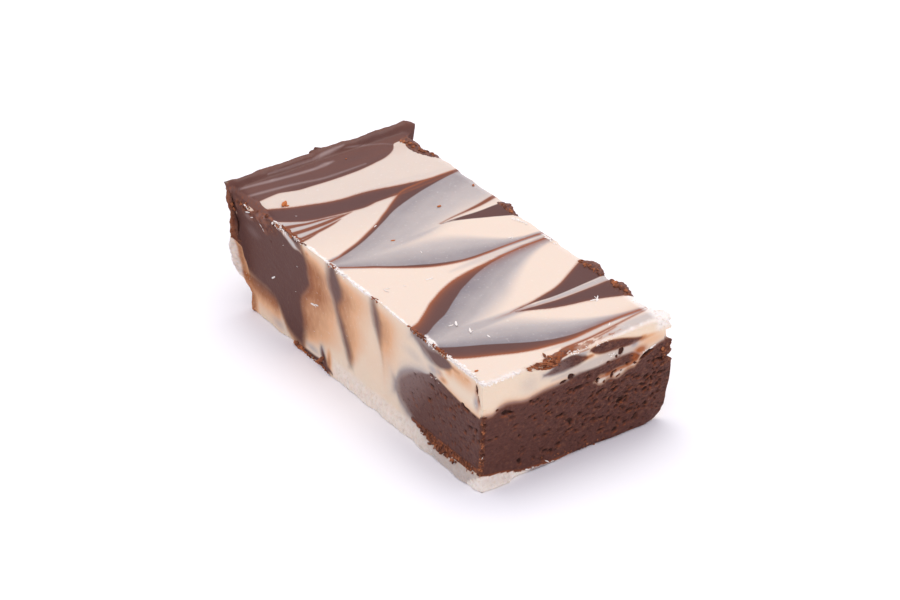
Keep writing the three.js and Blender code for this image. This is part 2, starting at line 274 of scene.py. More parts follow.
pale_threads = most(*[vein(knots, tx, ty) for knots in (
    [(-22, 43.5, 0.15), (-17, 42.9, 0.3), (-14, 42.5, 0.4), (-10, 42, 0.3), (-6, 41.6, 0.35), (-3, 41.5, 0.35),
     (-0.5, 41.8, 0.45), (1, 41.9, 0.1)],
    [(-21, 40, 0.25), (-16, 39.4, 0.3), (-12, 38.9, 0.25), (-9, 38.3, 0.2), (-5, 37.4, 0.15), (0, 37.2, 0.1),
     (6, 37.4, 0)],
    [(-2, 44.7, 0.1), (0, 44.9, 0.4), (2.2, 45.1, 0.5), (4.5, 45.4, 0.3), (6, 45.6, 0.1)],
    [(-13, 44.7, 0.05), (-4, 44.6, 0.15), (0, 44.5, 0.1)],
    [(5, 44.9, -0.2), (6.6, 44.6, 0), (9.4, 43.9, 0.05), (12.1, 42.9, 0), (14, 41.8, 0), (15.2, 40.6, -0.1)])])
bright_spots = most(*[np.exp(-np.hypot((tx - a) / c, (ty - b) / d) ** 2) for a, b, c, d in (
    (-13.4, 42.6, 1.1, 0.35), (2.2, 45.1, 2.2, 0.4), (-0.3, 41.8, 0.8, 0.35), (-4, 41.5, 2.5, 0.25))])
# A paler haze on the far band, with pale threads and bright spots. The haze and the bright spots are partly the grazing
# reflection of the bright room: painted sheen.
top_haze_and_sheen = most(0.68 * ramp(pale_threads, -0.5, 0.3), 0.95 * bright_spots, 0.05 * ramp(ty, 36, 38),
                0.12 * ramp(grain(1.2, (8, 1, 1), seed=32), 0, 0.6) * ramp(ty, 40, 43))

# The marbling on the left side, where the knife dragged the layers down: soft dark drags, each with caramel-brown
# trailing off on its near side, and grey where the chocolate is thin. The places run along the side and up it, and
# they slide by these shares of how far in a point lies, so that they run on over the foot and the top edge.
LEFT_SIGHT = -22.265
SLIDE_ALONG, SLIDE_UP = 1.45, 1.09
side_u = -y + SLIDE_ALONG * (x - LEFT_SIGHT)
side_h = z + SLIDE_UP * (x - LEFT_SIGHT)
u = side_u + 0.25 * grain(8, seed=3)
h = side_h + 0.2 * grain(6, seed=4)
far_block_end = [(-1, -18), (0, -17.8), (2, -17.4), (4, -17.2), (6, -17.1), (8, -17.6), (10, -18), (12, -17.5),
                 (13, -16.7), (14, -15.8), (15, -15.1), (16, -14.6), (17, -15), (19, -15.2), (20, -15.4), (21, -16),
                 (22, -16.9), (23, -17.8), (26, -19)]
far_block_foot = [(-50, 7.4), (-38, 7.2), (-36, 6.5), (-34, 6.1), (-30, 6), (-28, 5.6), (-27, 4.8), (-26, 3.7),
                  (-25, 2.6), (-24, 1.5), (-23, 0.8), (-22, 0.3), (-20, -0.1), (-10, -0.5)]
far_block = np.minimum(through(far_block_end, h) - u, h - through(far_block_foot, u))
first_drag_line = [(4.4, -0.8, 0.1), (5, -1, 0.35), (6, -1.15, 0.65), (7, -1.35, 0.85), (8, -1.8, 1), (10, -2.7, 1),
                   (12, -3.75, 0.95), (13, -4.15, 0.9), (14, -4.75, 0.7), (15, -5.3, 0.65), (16, -5.65, 0.7),
                   (17, -5.75, 1.15), (18, -5.8, 1.8), (19, -5.9, 2.3), (20, -6.15, 2.45), (21, -6.35, 2.4),
                   (22, -6.75, 2.1), (23, -6.95, 1.75), (26, -7, 1.4)]
first_drag = vein(first_drag_line, h, u)
first_drag_middle = [knot[:2] for knot in first_drag_line]
second_drag_line = [(6.5, 11.5, -1.6), (9, 11.2, -1), (11, 10.9, -0.7), (13, 10.5, -0.5), (14, 10.25, -0.3),
                    (15, 10, 0), (16, 9.75, 0.35), (17, 9.5, 0.7), (18, 9.25, 0.95), (19, 8.9, 1.1), (20, 8.7, 1.2),
                    (21, 8.4, 1.2), (22, 8.1, 1.1), (23, 7.75, 0.85), (24, 7.6, 0.6), (26, 7.4, 0.4)]
second_drag = vein(second_drag_line, h, u)
second_drag_middle = [knot[:2] for knot in second_drag_line]
second_trail = [(5, 11.3), (8, 11), (12, 10.6), (15, 10.1)]
top_smear = vein([(21.5, 23.4, 0.1), (23.5, 22.9, 0.5), (25, 22.4, 1), (27, 22, 1.3), (29, 21.8, 1.7), (31, 21.9, 1.75),
                  (32.5, 22.2, 1.4), (33.8, 22.4, 0.8), (35, 22.6, 0)], u, h)
near_block = between([(15.4, 7.6), (16.2, 6.3), (17, 5.6), (18, 5), (20, 4.1), (22, 3.6), (25, 3.2), (30, 3.2),
                      (36, 3.3), (42, 3.5), (50, 4)],
                     [(15.4, 9), (16.2, 10.6), (17, 11.7), (18, 12.7), (20, 14.2), (23, 15.6), (26, 16.6), (28, 17.5),
                      (30, 17.4), (33, 16.8), (36, 16.3), (38, 16), (42, 15.8), (50, 15.8)], u, h)
# Dark brown marks on the foot: a line along its bottom and a streak up it.
foot_dark_marks = np.maximum(
    vein([(-20.5, -0.2, 0.2), (-18, -0.4, 0.5), (-14, -0.4, 0.55), (-11, -0.3, 0.6), (-8, -0.8, 0.4),
          (-6.5, -1.3, 0.1)], side_u, side_h) / 0.4,
    vein([(-2.2, -9.2, 1.1), (-1, -9.6, 1.1), (0, -9.9, 1), (1, -10.3, 0.95), (2, -10.8, 0.75), (3.4, -11.4, 0)],
         side_h, side_u) / 0.8)
left_chocolate = most(
    far_block / (1.9 + 0.7 * (1 - ramp(u, -33, -29)) * (1 - ramp(h, 7, 9))), first_drag / 1.7, second_drag / 1.7,
    foot_dark_marks, top_smear / (0.7 + 1.1 * (1 - ramp(u, 25, 31))),
    near_block / (0.35 + 2.2 * (1 - ramp(u, 16, 26))))

def oval(across, up, middle_across, middle_up, half_across, half_up):
    """A soft oval stain, 1 in its middle."""
    return np.exp(-1.5 * (((across - middle_across) / half_across) ** 2 + ((up - middle_up) / half_up) ** 2))

def stains(across, up, *ovals):
    """The strongest of several oval stains, each given by its strength, its middle, and half its width and height."""
    return most(*[strength * oval(across, up, *spot) for strength, *spot in ovals])

def spread(shape, reach):
    """How strongly a shape's stain shows: 1 inside it, fading over this reach."""
    return np.exp(-np.clip(-shape, 0, None) / reach)

def trail(edge, strengths, reaches):
    """Caramel that trails off on the near side of an edge, given as knots of height and place along."""
    past = u - through(edge, h)
    fading = np.exp(-(np.clip(past, 0, None) / through(reaches, h)) ** 2)
    return ramp(past, -1.2, 0.2) * through(strengths, h) * fading

left_caramel = most(
    trail(far_block_end, [(-1, 0.1), (1.5, 0.25), (3, 0.55), (5, 0.8), (8, 0.86), (10, 0.86), (12, 0.94), (14, 1.08),
                          (17, 1.08), (20, 1.02), (21.5, 0.8), (22.6, 0.5), (23.4, 0.25), (24.3, 0.05)],
          [(-1, 2), (2, 4), (4, 7), (7, 11), (10, 13), (12, 13), (15, 11), (20, 10.5), (25, 9)]),
    trail(first_drag_middle,
          [(4.4, 0), (5.2, 0.4), (6, 0.68), (8, 0.8), (11, 0.82), (14, 0.8), (17, 0.84), (19, 0.88), (21, 0.76),
           (22.5, 0.55), (23.5, 0.2), (24.5, 0)],
          [(4.4, 1.5), (6, 2), (8, 3.5), (10, 5.5), (12, 7), (15, 8.5), (17, 9.5), (19, 10.5), (21, 12), (22.5, 13),
           (25, 12)]),
    trail(second_drag_middle,
          [(7, 0.05), (10, 0.25), (12.5, 0.4), (14, 0.52), (15.5, 0.62), (17, 0.72), (19, 0.78), (21, 0.7),
           (22.5, 0.5), (23.5, 0.25), (24.5, 0)],
          [(7, 2), (12, 4.5), (14, 5.2), (16, 5.6), (18, 6), (20, 7), (22, 8), (25, 8)]),
    trail(second_trail, [(4, 0), (6, 0.08), (9, 0.2), (13, 0.3), (15, 0.35), (16, 0)], [(5, 1.5), (10, 2), (16, 2.5)]),
    1.15 * np.exp(-(np.clip(-far_block, 0, None) / 4) ** 2) * (1 - ramp(u, -29, -24.5)) * (1 - ramp(h, 6.5, 8)),
    0.85 * (1 - ramp(u, -37, -33)) * (1 - ramp(h, 4, 7)), 0.6 * spread(far_block, 0.6),
    0.5 * spread(near_block, 0.7) * ramp(u, 30, 34) * ramp(h, 9, 14), 0.1 * ramp(h, 3, 10) * (1 - ramp(u, 12, 18)),
    stains(u, h, (0.8, 33.4, 21.6, 2.2, 2), (0.55, 37.5, 21.9, 6, 2.2), (0.8, 36, 22.4, 3.2, 0.9),
           (0.6, 39.6, 22.3, 2.4, 0.8), (0.7, 31.5, 18, 2, 1), (0.75, 30.2, 19, 1.5, 0.9), (0.85, -16.2, 22.6, 1.3, 1),
           (0.6, 43.3, 18.6, 0.9, 2), (1.15, -12.7, 15.8, 2, 1.1), (1.1, -14.2, 19.5, 1.2, 2.6),
           (0.35, -14, 9.6, 2.5, 1.5)),
    stains(side_u, side_h, (0.95, -8.6, 1, 1.1, 4), (0.45, -3, -1, 6, 1.2)))
left_caramel *= 1 + 0.16 * grain(2.6, (1, 1, 2.5), seed=17) + 0.12 * grain(0.6, (1, 1, 2.5), seed=18)

def around(shape, reach):
    """How near the outline of a shape, from either side."""
    return np.exp(-abs(shape) / reach)

far_of_first = ramp(through(first_drag_middle, h) - u, -0.5, 0.8)
far_of_second = ramp(through(second_drag_middle, h) - u, -0.5, 0.8)
left_veil = most(
    0.7 * around(near_block, 1.3) * (1 - ramp(u, 24, 31)), 0.7 * around(top_smear, 1.1) * (1 - ramp(u, 27, 31)),
    0.3 * around(first_drag, 0.8) * far_of_first, 0.3 * around(second_drag, 1) * far_of_second,
    stains(u, h, (0.55, 28.3, 18.6, 2.4, 1.6), (0.25, 22, 18.5, 5, 2), (0.75, -11, 2.6, 1.1, 1.5),
           (0.5, -14.5, 1.3, 3, 0.9), (0.6, 42.9, 18.8, 1.1, 2), (0.45, 30, 19, 1.6, 1),
           (0.35, -27, 0.8, 3, 1.5)))
FAINT_HAZE = 0.07
# Grey haze on the left chocolate. The lighter band on the far block's upper part is a painted sheen.
left_haze_and_sheen = most(
    0.25 * ramp(first_drag, -1, 0.5), 0.3 * ramp(second_drag, -1, 0.5), 0.25 * ramp(top_smear, -1, 0.5),
    0.5 * (1 - ramp(u - 0.8 * (h - 12), 17, 32)) * ramp(near_block, -2, 0),
    stains(u, h, (0.25, -36, 18, 4, 1.6), (0.25, -19, 23.2, 1.6, 1)), np.full(count, FAINT_HAZE))
ridge = vein([(-29, 24.8, 0.3), (-26, 24, 0.5), (-24, 23.4, 0.6), (-22, 22.7, 0.6), (-20.6, 22.3, 0.5),
              (-18.8, 22.2, -0.2)], u, h)
ridge = ramp(ridge + 0.3 * grain(0.9, (2, 2, 1), seed=38), -1.1, 0.8)
left_chocolate = np.clip(left_chocolate, -3, 1.5) - 2.6 * ridge
left_veil = np.maximum(left_veil, 0.65 * ridge * ramp(u, -27, -23))

# The marbling on the near end: chocolate most of the way up, folded over a lens of vanilla at the right.
# The places run across the end and up it, and slide by these shares of how far in a point lies, so that they run on
# over the top edge and the lip at the foot. The end itself leans: its foot lies further in than its top.
SLIDE_ACROSS, SLIDE_OVER = -0.69, 0.75
end_x = x + SLIDE_ACROSS * (y - NEAR)
end_h = z + SLIDE_OVER * (y - NEAR)
lean_in = 1.27 - 0.054 * z
face_x = x + SLIDE_ACROSS * lean_in
face_h = z + SLIDE_OVER * lean_in
behind_face = y - NEAR - lean_in
nx = face_x + 0.15 * grain(5, seed=5)
nh = face_h + 0.12 * grain(5, seed=6)
end_body = through([(-26, 15.9), (-21.5, 16.3), (-19.5, 16.3), (-18.5, 17), (-17, 17.5), (-15, 17.3), (-13.5, 16.9),
                    (-12, 16.7), (-10, 17), (-8, 17.3), (-5, 17.5), (-3, 17.7), (0, 18.2), (3, 18.3), (6, 18.4),
                    (8, 18.6), (12, 18.6), (13.5, 18.5), (14.6, 17.9), (15.5, 17.3), (16.5, 17.2), (17.5, 17.5),
                    (18.5, 18), (19.5, 18.4), (26, 18.5)], nx) - nh
end_tongue = vein([(4.4, 14.9, -0.1), (5.3, 14.95, 0.75), (6.8, 15, 0.75), (7.4, 15.1, 0.45), (8.3, 15.1, 0.45),
                   (9.2, 15.1, 0.8), (11, 15.25, 0.75), (11.8, 15.4, 0.5), (13.4, 15.6, 0.4), (14.2, 15.8, 0.6),
                   (14.7, 16.2, 0.4), (15.4, 17, 0.45), (16, 17.6, 0.3)], nx, nh)
end_lens_left = between([(-7.8, 20.9), (-6, 20.4), (-4, 20.2), (-2, 20.2), (0, 20.3), (1.5, 20.7), (2.6, 21.2)],
                        [(-7.8, 20.95), (-6.5, 21.4), (-5, 22.2), (-4, 22.8), (-2.5, 23), (-1, 23.1), (0, 22.8),
                         (1, 22.3), (2, 21.9), (2.6, 21.3)], nx, nh)
end_lens_right = between([(3.2, 22.5), (4, 21.8), (5, 21.2), (6.5, 20.8), (8, 20.7), (12, 20.6), (13.5, 20.5),
                          (15.5, 21)],
                         [(3.2, 22.8), (4, 23.1), (5, 23.3), (7, 23.3), (9, 23), (11, 22.6), (13, 21.9), (15.5, 21.2)],
                         nx, nh)
end_soft = 0.45 + 0.5 * (1 - ramp(nx, -4, 4))
end_chocolate = most(np.minimum(end_body / end_soft, -end_tongue / 0.7), (end_lens_left + 0.1) / 0.6,
                     (end_lens_right + 0.15) / 0.35)
end_veil = most(
    0.36 * ramp(vein([(-6, 19, 0.2), (0, 19.2, 0.9), (8, 19.6, 1), (14, 19.6, 0.9)], nx, nh), -0.8, 0.6),
    0.3 * ramp(end_tongue, -0.2, 0.6), 0.6 * around(end_lens_left, 0.7) * (1 - ramp(nx, -3, 1)),
    0.45 * around(end_body, 0.4),
    stains(nx, nh, (0.7, 13.8, 20.2, 1.4, 1.2), (0.6, 1.2, 22.6, 2.2, 0.8), (0.2, -11, 20, 3, 3),
           (0.45, -18, 17.2, 1.5, 0.5)))
end_haze = np.maximum(0.25 * ramp(end_lens_left, -0.6, 0.4) * (1 - ramp(nx, -4, 0)),
                      0.5 * oval(nx, nh, 13.8, 20.6, 1, 0.5))
FAINT_CARAMEL = 0.04
end_caramel = most(
    stains(nx, nh, (0.85, 15.8, 21.1, 1.6, 0.7), (0.9, 3.3, 21.3, 1.2, 0.6), (0.55, 17.5, 20.8, 3, 0.8),
           (0.42, 18, 19.8, 4.5, 1.6), (1, 14.4, 17.4, 1.3, 1.8), (0.7, 12.5, 15.5, 1.2, 0.8),
           (0.9, 7.3, 15.3, 0.7, 0.6), (0.8, 2, 21.2, 1.6, 0.6)),
    0.9 * spread(end_body, 0.6) * (1 - ramp(nx, -2, 4)), 0.6 * around(end_tongue, 0.35) * ramp(nh, 14.6, 15.4),
    0.75 * ramp(end_tongue, -0.3, 0.4) * ramp(abs(nx - 8.1), 1.3, 0.6), 0.5 * around(end_lens_right, 0.3),
    np.full(count, FAINT_CARAMEL))
end_fringe = most(
    0.8 * ramp(vein([(5, 15.4, 0), (7, 15.6, 0.25), (10, 15.8, 0.3), (13, 16.1, 0.25), (14.5, 16.6, 0.3)], nx, nh),
               -0.35, 0.1),
    stains(nx, nh, (1, 14.1, 17.4, 1.2, 1.5), (1.25, 15.4, 18.5, 1.8, 1), (0.75, 15.8, 20.7, 1.5, 0.6),
           (0.4, 3.3, 21.3, 1, 0.5), (0.7, 2.4, 21.3, 1.2, 0.6)),
    0.35 * around(end_lens_right, 0.25), 0.5 * around(end_tongue, 0.3),
    0.3 * around(end_body, 0.35) * ramp(nx, 3, 8), 0.35 * around(end_body, 0.4) * (1 - ramp(nx, -8, -3)),
    0.8 * ramp(vein([(-0.5, 23.3, 0.1), (1, 23.3, 0.2), (2.8, 23.2, 0.05)], nx, nh), -0.25, 0.05))

# The strip along the near top edge, torn open as the knife went in: shaggy orange-brown at its left end, a thin
# streaky film further right.
strip = between([(-12.9, 24.1), (-12, 23.9), (-11, 23.5), (-10, 22.9), (-9, 22.5), (-8, 22.1), (-7, 21.9), (-5.5, 21.9),
                 (-4.5, 22.1), (-4, 22.8), (-3, 23.1), (-2, 23.4), (0, 23.4), (2, 23.6), (6, 24.2), (9, 24.4),
                 (10.5, 24.8)],
                [(-12.9, 24.2), (-11, 24), (-10, 24.2), (-9, 24.4), (-7, 24.9), (-5, 25.2), (-3, 25.4), (-1, 25.3),
                 (1, 25.2), (3, 24.9), (6, 24.9), (9, 25), (10.5, 24.9)], end_x, end_h)
FAR_OUTSIDE = -3
strip[(y > NEAR + 5) | (z < TOP - 4)] = FAR_OUTSIDE
with_tear = [0.92 * end_x - 0.39 * end_h, 0.39 * end_x + 0.92 * end_h, np.zeros(count)]
shreds = grain(0.4, (5, 1, 1), seed=33, at=with_tear) + 0.5 * grain(0.25, (4, 1, 1), seed=36, at=with_tear)
strip_film = ramp(strip + 0.35 * shreds, -0.1, 0.3)
strip_torn = strip_film * (1 - 0.5 * ramp(end_x, -4.5, -1.5))

# The hidden sides carry the same marbling on: the tray side takes up the top's right-hand feathers, and the
# far end and base are mostly chocolate and mostly vanilla.
sy = y + 0.8 * grain(9, seed=7)
sz = z + 0.6 * grain(7, seed=8)
side_chocolate = most(
    between([(-50, 2.5), (-30, 2), (-12, 4), (-4, 9)], [(-50, 18.4), (-30, 17), (-12, 13.5), (-4, 9.5)], sy, sz) / 0.8,
    vein([(8, 4.5, 0.2), (16, 6, 1.2), (21, 6.4, 2.2), (26, 6.6, 2.4)], sz, sy) / 0.8,
    vein([(4, 20, 0.3), (14, 23, 1.6), (26, 24.6, 0.9)], sz, sy) / 0.8,
    vein([(14, -21, 0.6), (21, -22.3, 3), (26, -22.4, 3.9)], sz, sy) / 0.6,
    vein([(14, -30, 0.6), (21, -31, 3), (26, -31.3, 3.2)], sz, sy) / 0.6,
    (sy - through([(-1, 34), (8, 31), (18, 38), (26, 42)], sz)) / 0.8)
side_caramel = 0.6 * spread(side_chocolate, 2.2)
back_chocolate = np.minimum(2.2 + 3 * grain(16, (1.6, 1, 0.7), seed=9),
                            -vein([(-26, 12, 0.6), (-8, 9, 1.4), (8, 12.5, 1.0), (26, 10, 0.5)], x, sz)) / 0.7
under_chocolate = 3.2 * grain(14, (1, 2, 1), seed=10) - 0.6

# Each point takes its marbling from the sides that it looks towards, so the sides run into each other at the edges.
# Chocolate runs from minus this number, which is all vanilla, to this number, which is all brown.
ALL_BROWN = 4
TOP_EDGE = 0.22
none = np.zeros(count)

def merged(*fields):
    """One field from those of the top, left, near end, tray side, far end and base, by each point's share."""
    return (share * np.stack(fields, axis=1)).sum(axis=1)

chocolate = merged(np.clip(top_chocolate / TOP_EDGE, -ALL_BROWN, ALL_BROWN), left_chocolate,
                   np.clip(end_chocolate, -ALL_BROWN, ALL_BROWN), side_chocolate, back_chocolate, under_chocolate)
chocolate = np.clip(chocolate, -ALL_BROWN, ALL_BROWN)
fringes_and_lit_lips = np.maximum(top_fringe * on_top, end_fringe * on_end)
veils_and_shade = merged(top_veil, left_veil, end_veil, none, none, none)
haze_and_sheen_amount = merged(top_haze_and_sheen, left_haze_and_sheen, end_haze, none, none, none)
caramel = merged(none, left_caramel, end_caramel, side_caramel, none, none)

# Broken and crumbled places on the left: the chipped far corner and its fin, the white burr along the top edge with
# crumbs in it, partly a real burr that the knife raised and partly a painted highlight where the rounded edge catches
# the light, the pale grainy foot, and the crumbs that fell on it.
fine = grain(0.55, seed=13) + 0.6 * grain(0.3, seed=14)
lumps = grain(1.5, seed=15)
beside_left = x < LEFT + 3
outer_left = x < LEFT + 0.6
chip_facet = between([(-47, 22.2), (-45, 22.8), (-43.5, 23.6), (-41, 23.9), (-36, 23.5), (-32, 23.9), (-29, 24.2)],
                     [(-47, 23), (-45, 24), (-43.5, 24.7), (-41, 25.4), (-37, 26), (-33.5, 26.3), (-32, 26),
                      (-29, 24.7)],
                     side_u, side_h)
chip_facet = ramp(chip_facet + 0.25 * lumps, -0.2, 0.3) * beside_left
chip_bits = between([(-43, 21), (-40, 20.4), (-35, 20.5), (-30, 20.2), (-27, 21.5)],
                    [(-43, 23.6), (-36, 23.6), (-32, 23.9), (-27, 23.4)], side_u, side_h)
chip_bits = ramp(chip_bits + 0.5 * lumps, -0.3, 0.6) * beside_left
fin_line = through([(3, -37), (4, -37.3), (6.5, -38), (9, -39), (11, -39.8), (13, -40.6), (14.5, -41.5), (16, -42),
                    (18, -42.6), (20, -43.2), (22.5, -43.6), (25, -44.5)], side_h)
past_fin_line = (fin_line - side_u) * beside_left * (y > 30)
fin = ramp(past_fin_line, 0.05, 0.5) * (1 - ramp(side_h, 22.6, 23.4))
fin_top = ramp(side_h + 0.6 * lumps, 11.9, 12.9)
brown_fin = fin * fin_top
pale_fin = fin * (1 - fin_top)
crease = np.exp(-((past_fin_line - 0.35) / 0.45) ** 2) * ramp(side_h, 12.6, 14) * (1 - ramp(side_h, 21.5, 23))
crease *= fin

# The white burr along the left top edge: partly a real burr, partly a painted highlight.
burr_and_highlight = between([(-18, 24.2), (-9, 24.1), (-4, 23.8), (6, 23.8), (8, 24.2), (20, 24.1), (22, 24.6), (25, 24.8),
                (26.5, 24.1), (29, 24.5), (32, 24.4), (33.5, 23.9), (36, 23.4), (41, 23.1), (45.5, 23.3)],
               [(-18, 24.7), (-16, 25.1), (-9, 25.1), (-4, 25.2), (6, 25), (8.5, 24.9), (20, 24.9), (22, 24.9),
                (26, 25.7), (29, 25.5), (32, 24.6), (33.5, 25), (36, 25.2), (40, 25), (45.5, 24.4)], side_u, side_h)
burr_and_highlight = ramp(burr_and_highlight + 0.3 * lumps + 0.25 * fine, -0.1, 0.6) * beside_left * ramp(side_h, 23, 24.3)
edge_crumbs = most(*[vein(knots, side_u, side_h) for knots in (
    [(-27, 24.6, 0.4), (-22, 24.8, 0.5), (-17.3, 25, 0.2)], [(-8.6, 24.3, 0.1), (-7, 24.6, 0.25), (-5.4, 24.5, 0.1)],
    [(6.8, 24.4, 0.1), (8, 24.7, 0.2), (9.4, 24.9, 0.1)], [(19.8, 24.6, 0.2), (22, 24.5, 0.4), (26, 24.3, 0.3)],
    [(27.5, 24.3, 0.2), (29.5, 24.5, 0.4), (33, 24.3, 0.3)], [(-32.5, 24.3, 0.2), (-30, 24.4, 0.4), (-28, 24.5, 0.2)])])
edge_crumbs = ramp(edge_crumbs + 0.3 * lumps + 0.3 * fine, -0.1, 0.3) * beside_left

foot = (1 - ramp(side_h + 0.4 * lumps, 1.8, 3.2)) * outer_left * ramp(side_u, -8.5, -5)
fallen = between([(20.5, 3.4), (22, 3.1), (24, 2.3), (25.5, 1.6), (27, 1.1), (28.5, 0.9), (29.7, 0.2), (31, 0.6),
                  (33, 0.9), (35, 1.3), (37, 1.6), (39, 2), (40.5, 1.8), (42, 2.5), (44, 3.4)],
                 [(20.5, 3.6), (24, 3.7), (30, 3.8), (38, 3.8), (44, 3.8)], side_u, side_h)
fallen = ramp(fallen + 0.35 * lumps + 0.4 * fine, -0.05, 0.3) * outer_left * (y > NEAR + 0.3)

# Broken and crumbled places elsewhere: the rims along the tray edge, the broken far corner with its lip, the curled
# far edge, the ragged corners of the near end, its burr, partly real and partly a painted highlight along the rounded
# top edge, the lip at its foot and the thin ledge beside that, which is painted grey as painted shade.
at_right_edge = ramp(x, 18.6, 19.9) * ramp(z + 1.1 * lumps + 0.4 * grain(3, seed=39), 21.5, 22.7)
rims = at_right_edge * most(*[1 - ramp(abs(y - middle) + 0.7 * lumps, half - 1, half + 0.6)
                              for middle, half in ((6.6, 3.2), (-21.8, 3.6), (-31.2, 3.4))])
broken_rim = x - through([(30, 19.8), (33, 18), (36.5, 16.8), (40, 17.2), (43, 17.8)], y)
broken_rim = ramp(broken_rim, -0.3, 0.5) * ramp(z, 20, 21) * ramp(y, 30.8, 32.3) * (1 - ramp(y, 41.3, 42.8))
right_lip = ramp(x, 12.8, 15.3) * ramp(y, 40.6, 42.4) * ramp(z, 17, 19)
far_edge = ramp(y, 43.6, 44.8) * ramp(z, 21, 23)
near_corner = (1 - ramp(np.hypot(x - LEFT + 0.4, behind_face) + 0.3 * lumps, 0.3, 1.1)) * ramp(z, 1.8, 2.8)
right_corner = (1 - ramp(np.hypot(x - RIGHT - 1.3, behind_face) + 0.3 * lumps, 0.5, 1.8)) * ramp(z, 11.5, 13.5)
end_foot_line = through([(-26, 3), (-22, 2.7), (-20, 2.35), (-18, 2.1), (-16, 1.8), (-14, 1.5), (-12, 1.35), (-10, 1.2),
                         (-8, 1.1), (-5, 1), (-2, 0.95), (0, 0.4), (3, -0.6)], end_x)
near_foot = (y < NEAR + 3) & (z < 4) & (x > LEFT - 4)
lip = (1 - ramp(end_h - end_foot_line + 0.12 * fine, -0.1, 0.15)) * near_foot * (1 - ramp(side_h, 3, 3.4) * on_left)
end_foot_rim = np.exp(-((end_h - end_foot_line - 0.15) / 0.22) ** 2) * near_foot * on_end * (1 - ramp(end_x, 6, 9))
# The white burr along the near top edge: partly a real burr, partly a painted highlight.
end_burr_and_highlight = np.maximum(
    between([(-22.5, 23.2), (-20, 23.2), (-16, 23.2), (-14, 23.4), (-12.4, 24)],
            [(-22.5, 24.6), (-18, 24.6), (-14, 24.5), (-12.4, 24.2)], end_x, end_h),
    between([(1.5, 23.8), (5, 23.7), (9, 23.4), (13, 23.5), (18, 23.6), (21.5, 22.6)],
            [(1.5, 24.2), (5, 24.3), (9, 24.2), (13, 24.6), (18, 24.7), (21.5, 24.4)], end_x, end_h))
end_burr_and_highlight[(y > NEAR + 4) | (z < TOP - 4)] = FAR_OUTSIDE
end_burr_and_highlight = ramp(end_burr_and_highlight + 0.2 * lumps + 0.15 * fine, -0.2, 0.8)
# The white burr along the near part of the right top edge: partly a real burr, partly a painted highlight.
right_burr_and_highlight = ramp(x, 18.4, 20.2) * ramp(z, 20.5, 22.4) * (1 - ramp(y, -34, -28)) * (1 - rims)

# The thin ledge beside the near end's lip, painted grey: painted shade under the near end's base.
ledge_in_shade = ramp(end_x, -14, -11)
under_block = ramp(near_block + 0.25 * fine, -0.1, 0.2) * (side_h > 2.5) * (y > NEAR + 1)
low_pale = np.maximum(foot, lip) * (1 - fallen) * (1 - under_block)
near_crumb = near_corner * (1 - ramp(face_h, 15.8, 16.8))
right_crumb = right_corner * (1 - ramp(face_h, 17.4, 18.2))
brown_crumb = most(brown_fin, rims, broken_rim, near_crumb, right_crumb)
brown_crumb = most(ramp(brown_crumb + 0.3 * lumps + 0.15 * fine, 0.4, 0.7), fallen, edge_crumbs)
# Whitened places: the pale foot, lip, ridge and fin, and the burrs, which are partly a painted highlight.
pale = most(0.42 * low_pale * (1 - ramp(side_u, 20, 32)), 0.6 * lip * (1 - ledge_in_shade), burr_and_highlight, 0.75 * end_burr_and_highlight,
            0.8 * right_burr_and_highlight, 0.3 * ridge * on_left, 0.7 * pale_fin * ramp(past_fin_line + 0.4 * lumps, 1.8, 3))
pale = np.clip(pale * (1 - brown_crumb) * (1 - 0.9 * strip_film) * (1 + 0.25 * fine), 0, 1)
greyed = low_pale * (0.42 * ramp(side_u, 18, 30) + 0.03 * ramp(fine, -0.2, 0.5)) * (1 - lip) * outer_left
# The grey on the ledge stands for the shade under the near end's base: painted shade.
veils_and_shade = most(veils_and_shade, greyed, 0.85 * lip * ledge_in_shade)
caramel = caramel * (1 - 0.9 * low_pale)
haze_and_sheen_amount = most(haze_and_sheen_amount, 0.22 * chip_facet, 0.3 * chip_bits * ramp(lumps, 0, 0.5),
            0.5 * oval(side_u, side_h, -38, 20.8, 2, 0.8) * on_left)
block_edge = 0.35 * on_left * np.exp(-((through(far_block_end, h) - u - 0.2) / 0.9) ** 2)
block_edge *= ramp(h, 3, 6) * (1 - ramp(h, 20, 22))
fin_stripe = pale_fin * (1 - ramp(past_fin_line + 0.3 * lumps, 1.6, 2.8))
caramel = np.maximum(caramel, 0.7 * fin_stripe)
crumbled = most(brown_crumb, 0.55 * low_pale, 0.6 * fin, 0.6 * chip_bits, burr_and_highlight, 0.4 * end_burr_and_highlight, right_burr_and_highlight, strip_torn)
along_strip = ramp(end_x, -4, -1)
fringes_and_lit_lips = most(
    fringes_and_lit_lips, block_edge, chip_facet * (0.15 + 0.4 * ramp(fine, 0.1, 0.6)),
    0.4 * chip_bits * ramp(fine + lumps, 0, 0.7), 0.65 * end_foot_rim, 0.45 * fin_stripe,
    0.35 * brown_fin * ramp(past_fin_line, 0.9, 1.8),
    0.35 * pale_fin * ramp(past_fin_line, 3, 4) * ramp(lumps, 0.1, 0.4),
    strip_film * (0.45 * along_strip + 0.95 * ramp(shreds, -0.3, 0.2) * (1 - 0.6 * along_strip)),
    0.8 * edge_crumbs, 0.7 * fallen * ramp(fine, -0.5, 0.5),
    near_crumb * (0.05 + 0.55 * ramp(lumps + 0.4 * fine, 0.1, 0.6)), 0.25 * right_crumb * ramp(lumps, 0.1, 0.5),
    on_left * stains(side_u, side_h, (0.75, 43.1, 21.5, 0.7, 1.4), (0.6, 43.7, 19.6, 0.5, 1.4)))
chocolate += (ALL_BROWN - chocolate) * most(brown_crumb, right_lip, chip_facet)
gaps = -0.55 + 0.25 * (1 - ramp(end_x, -7, -4))
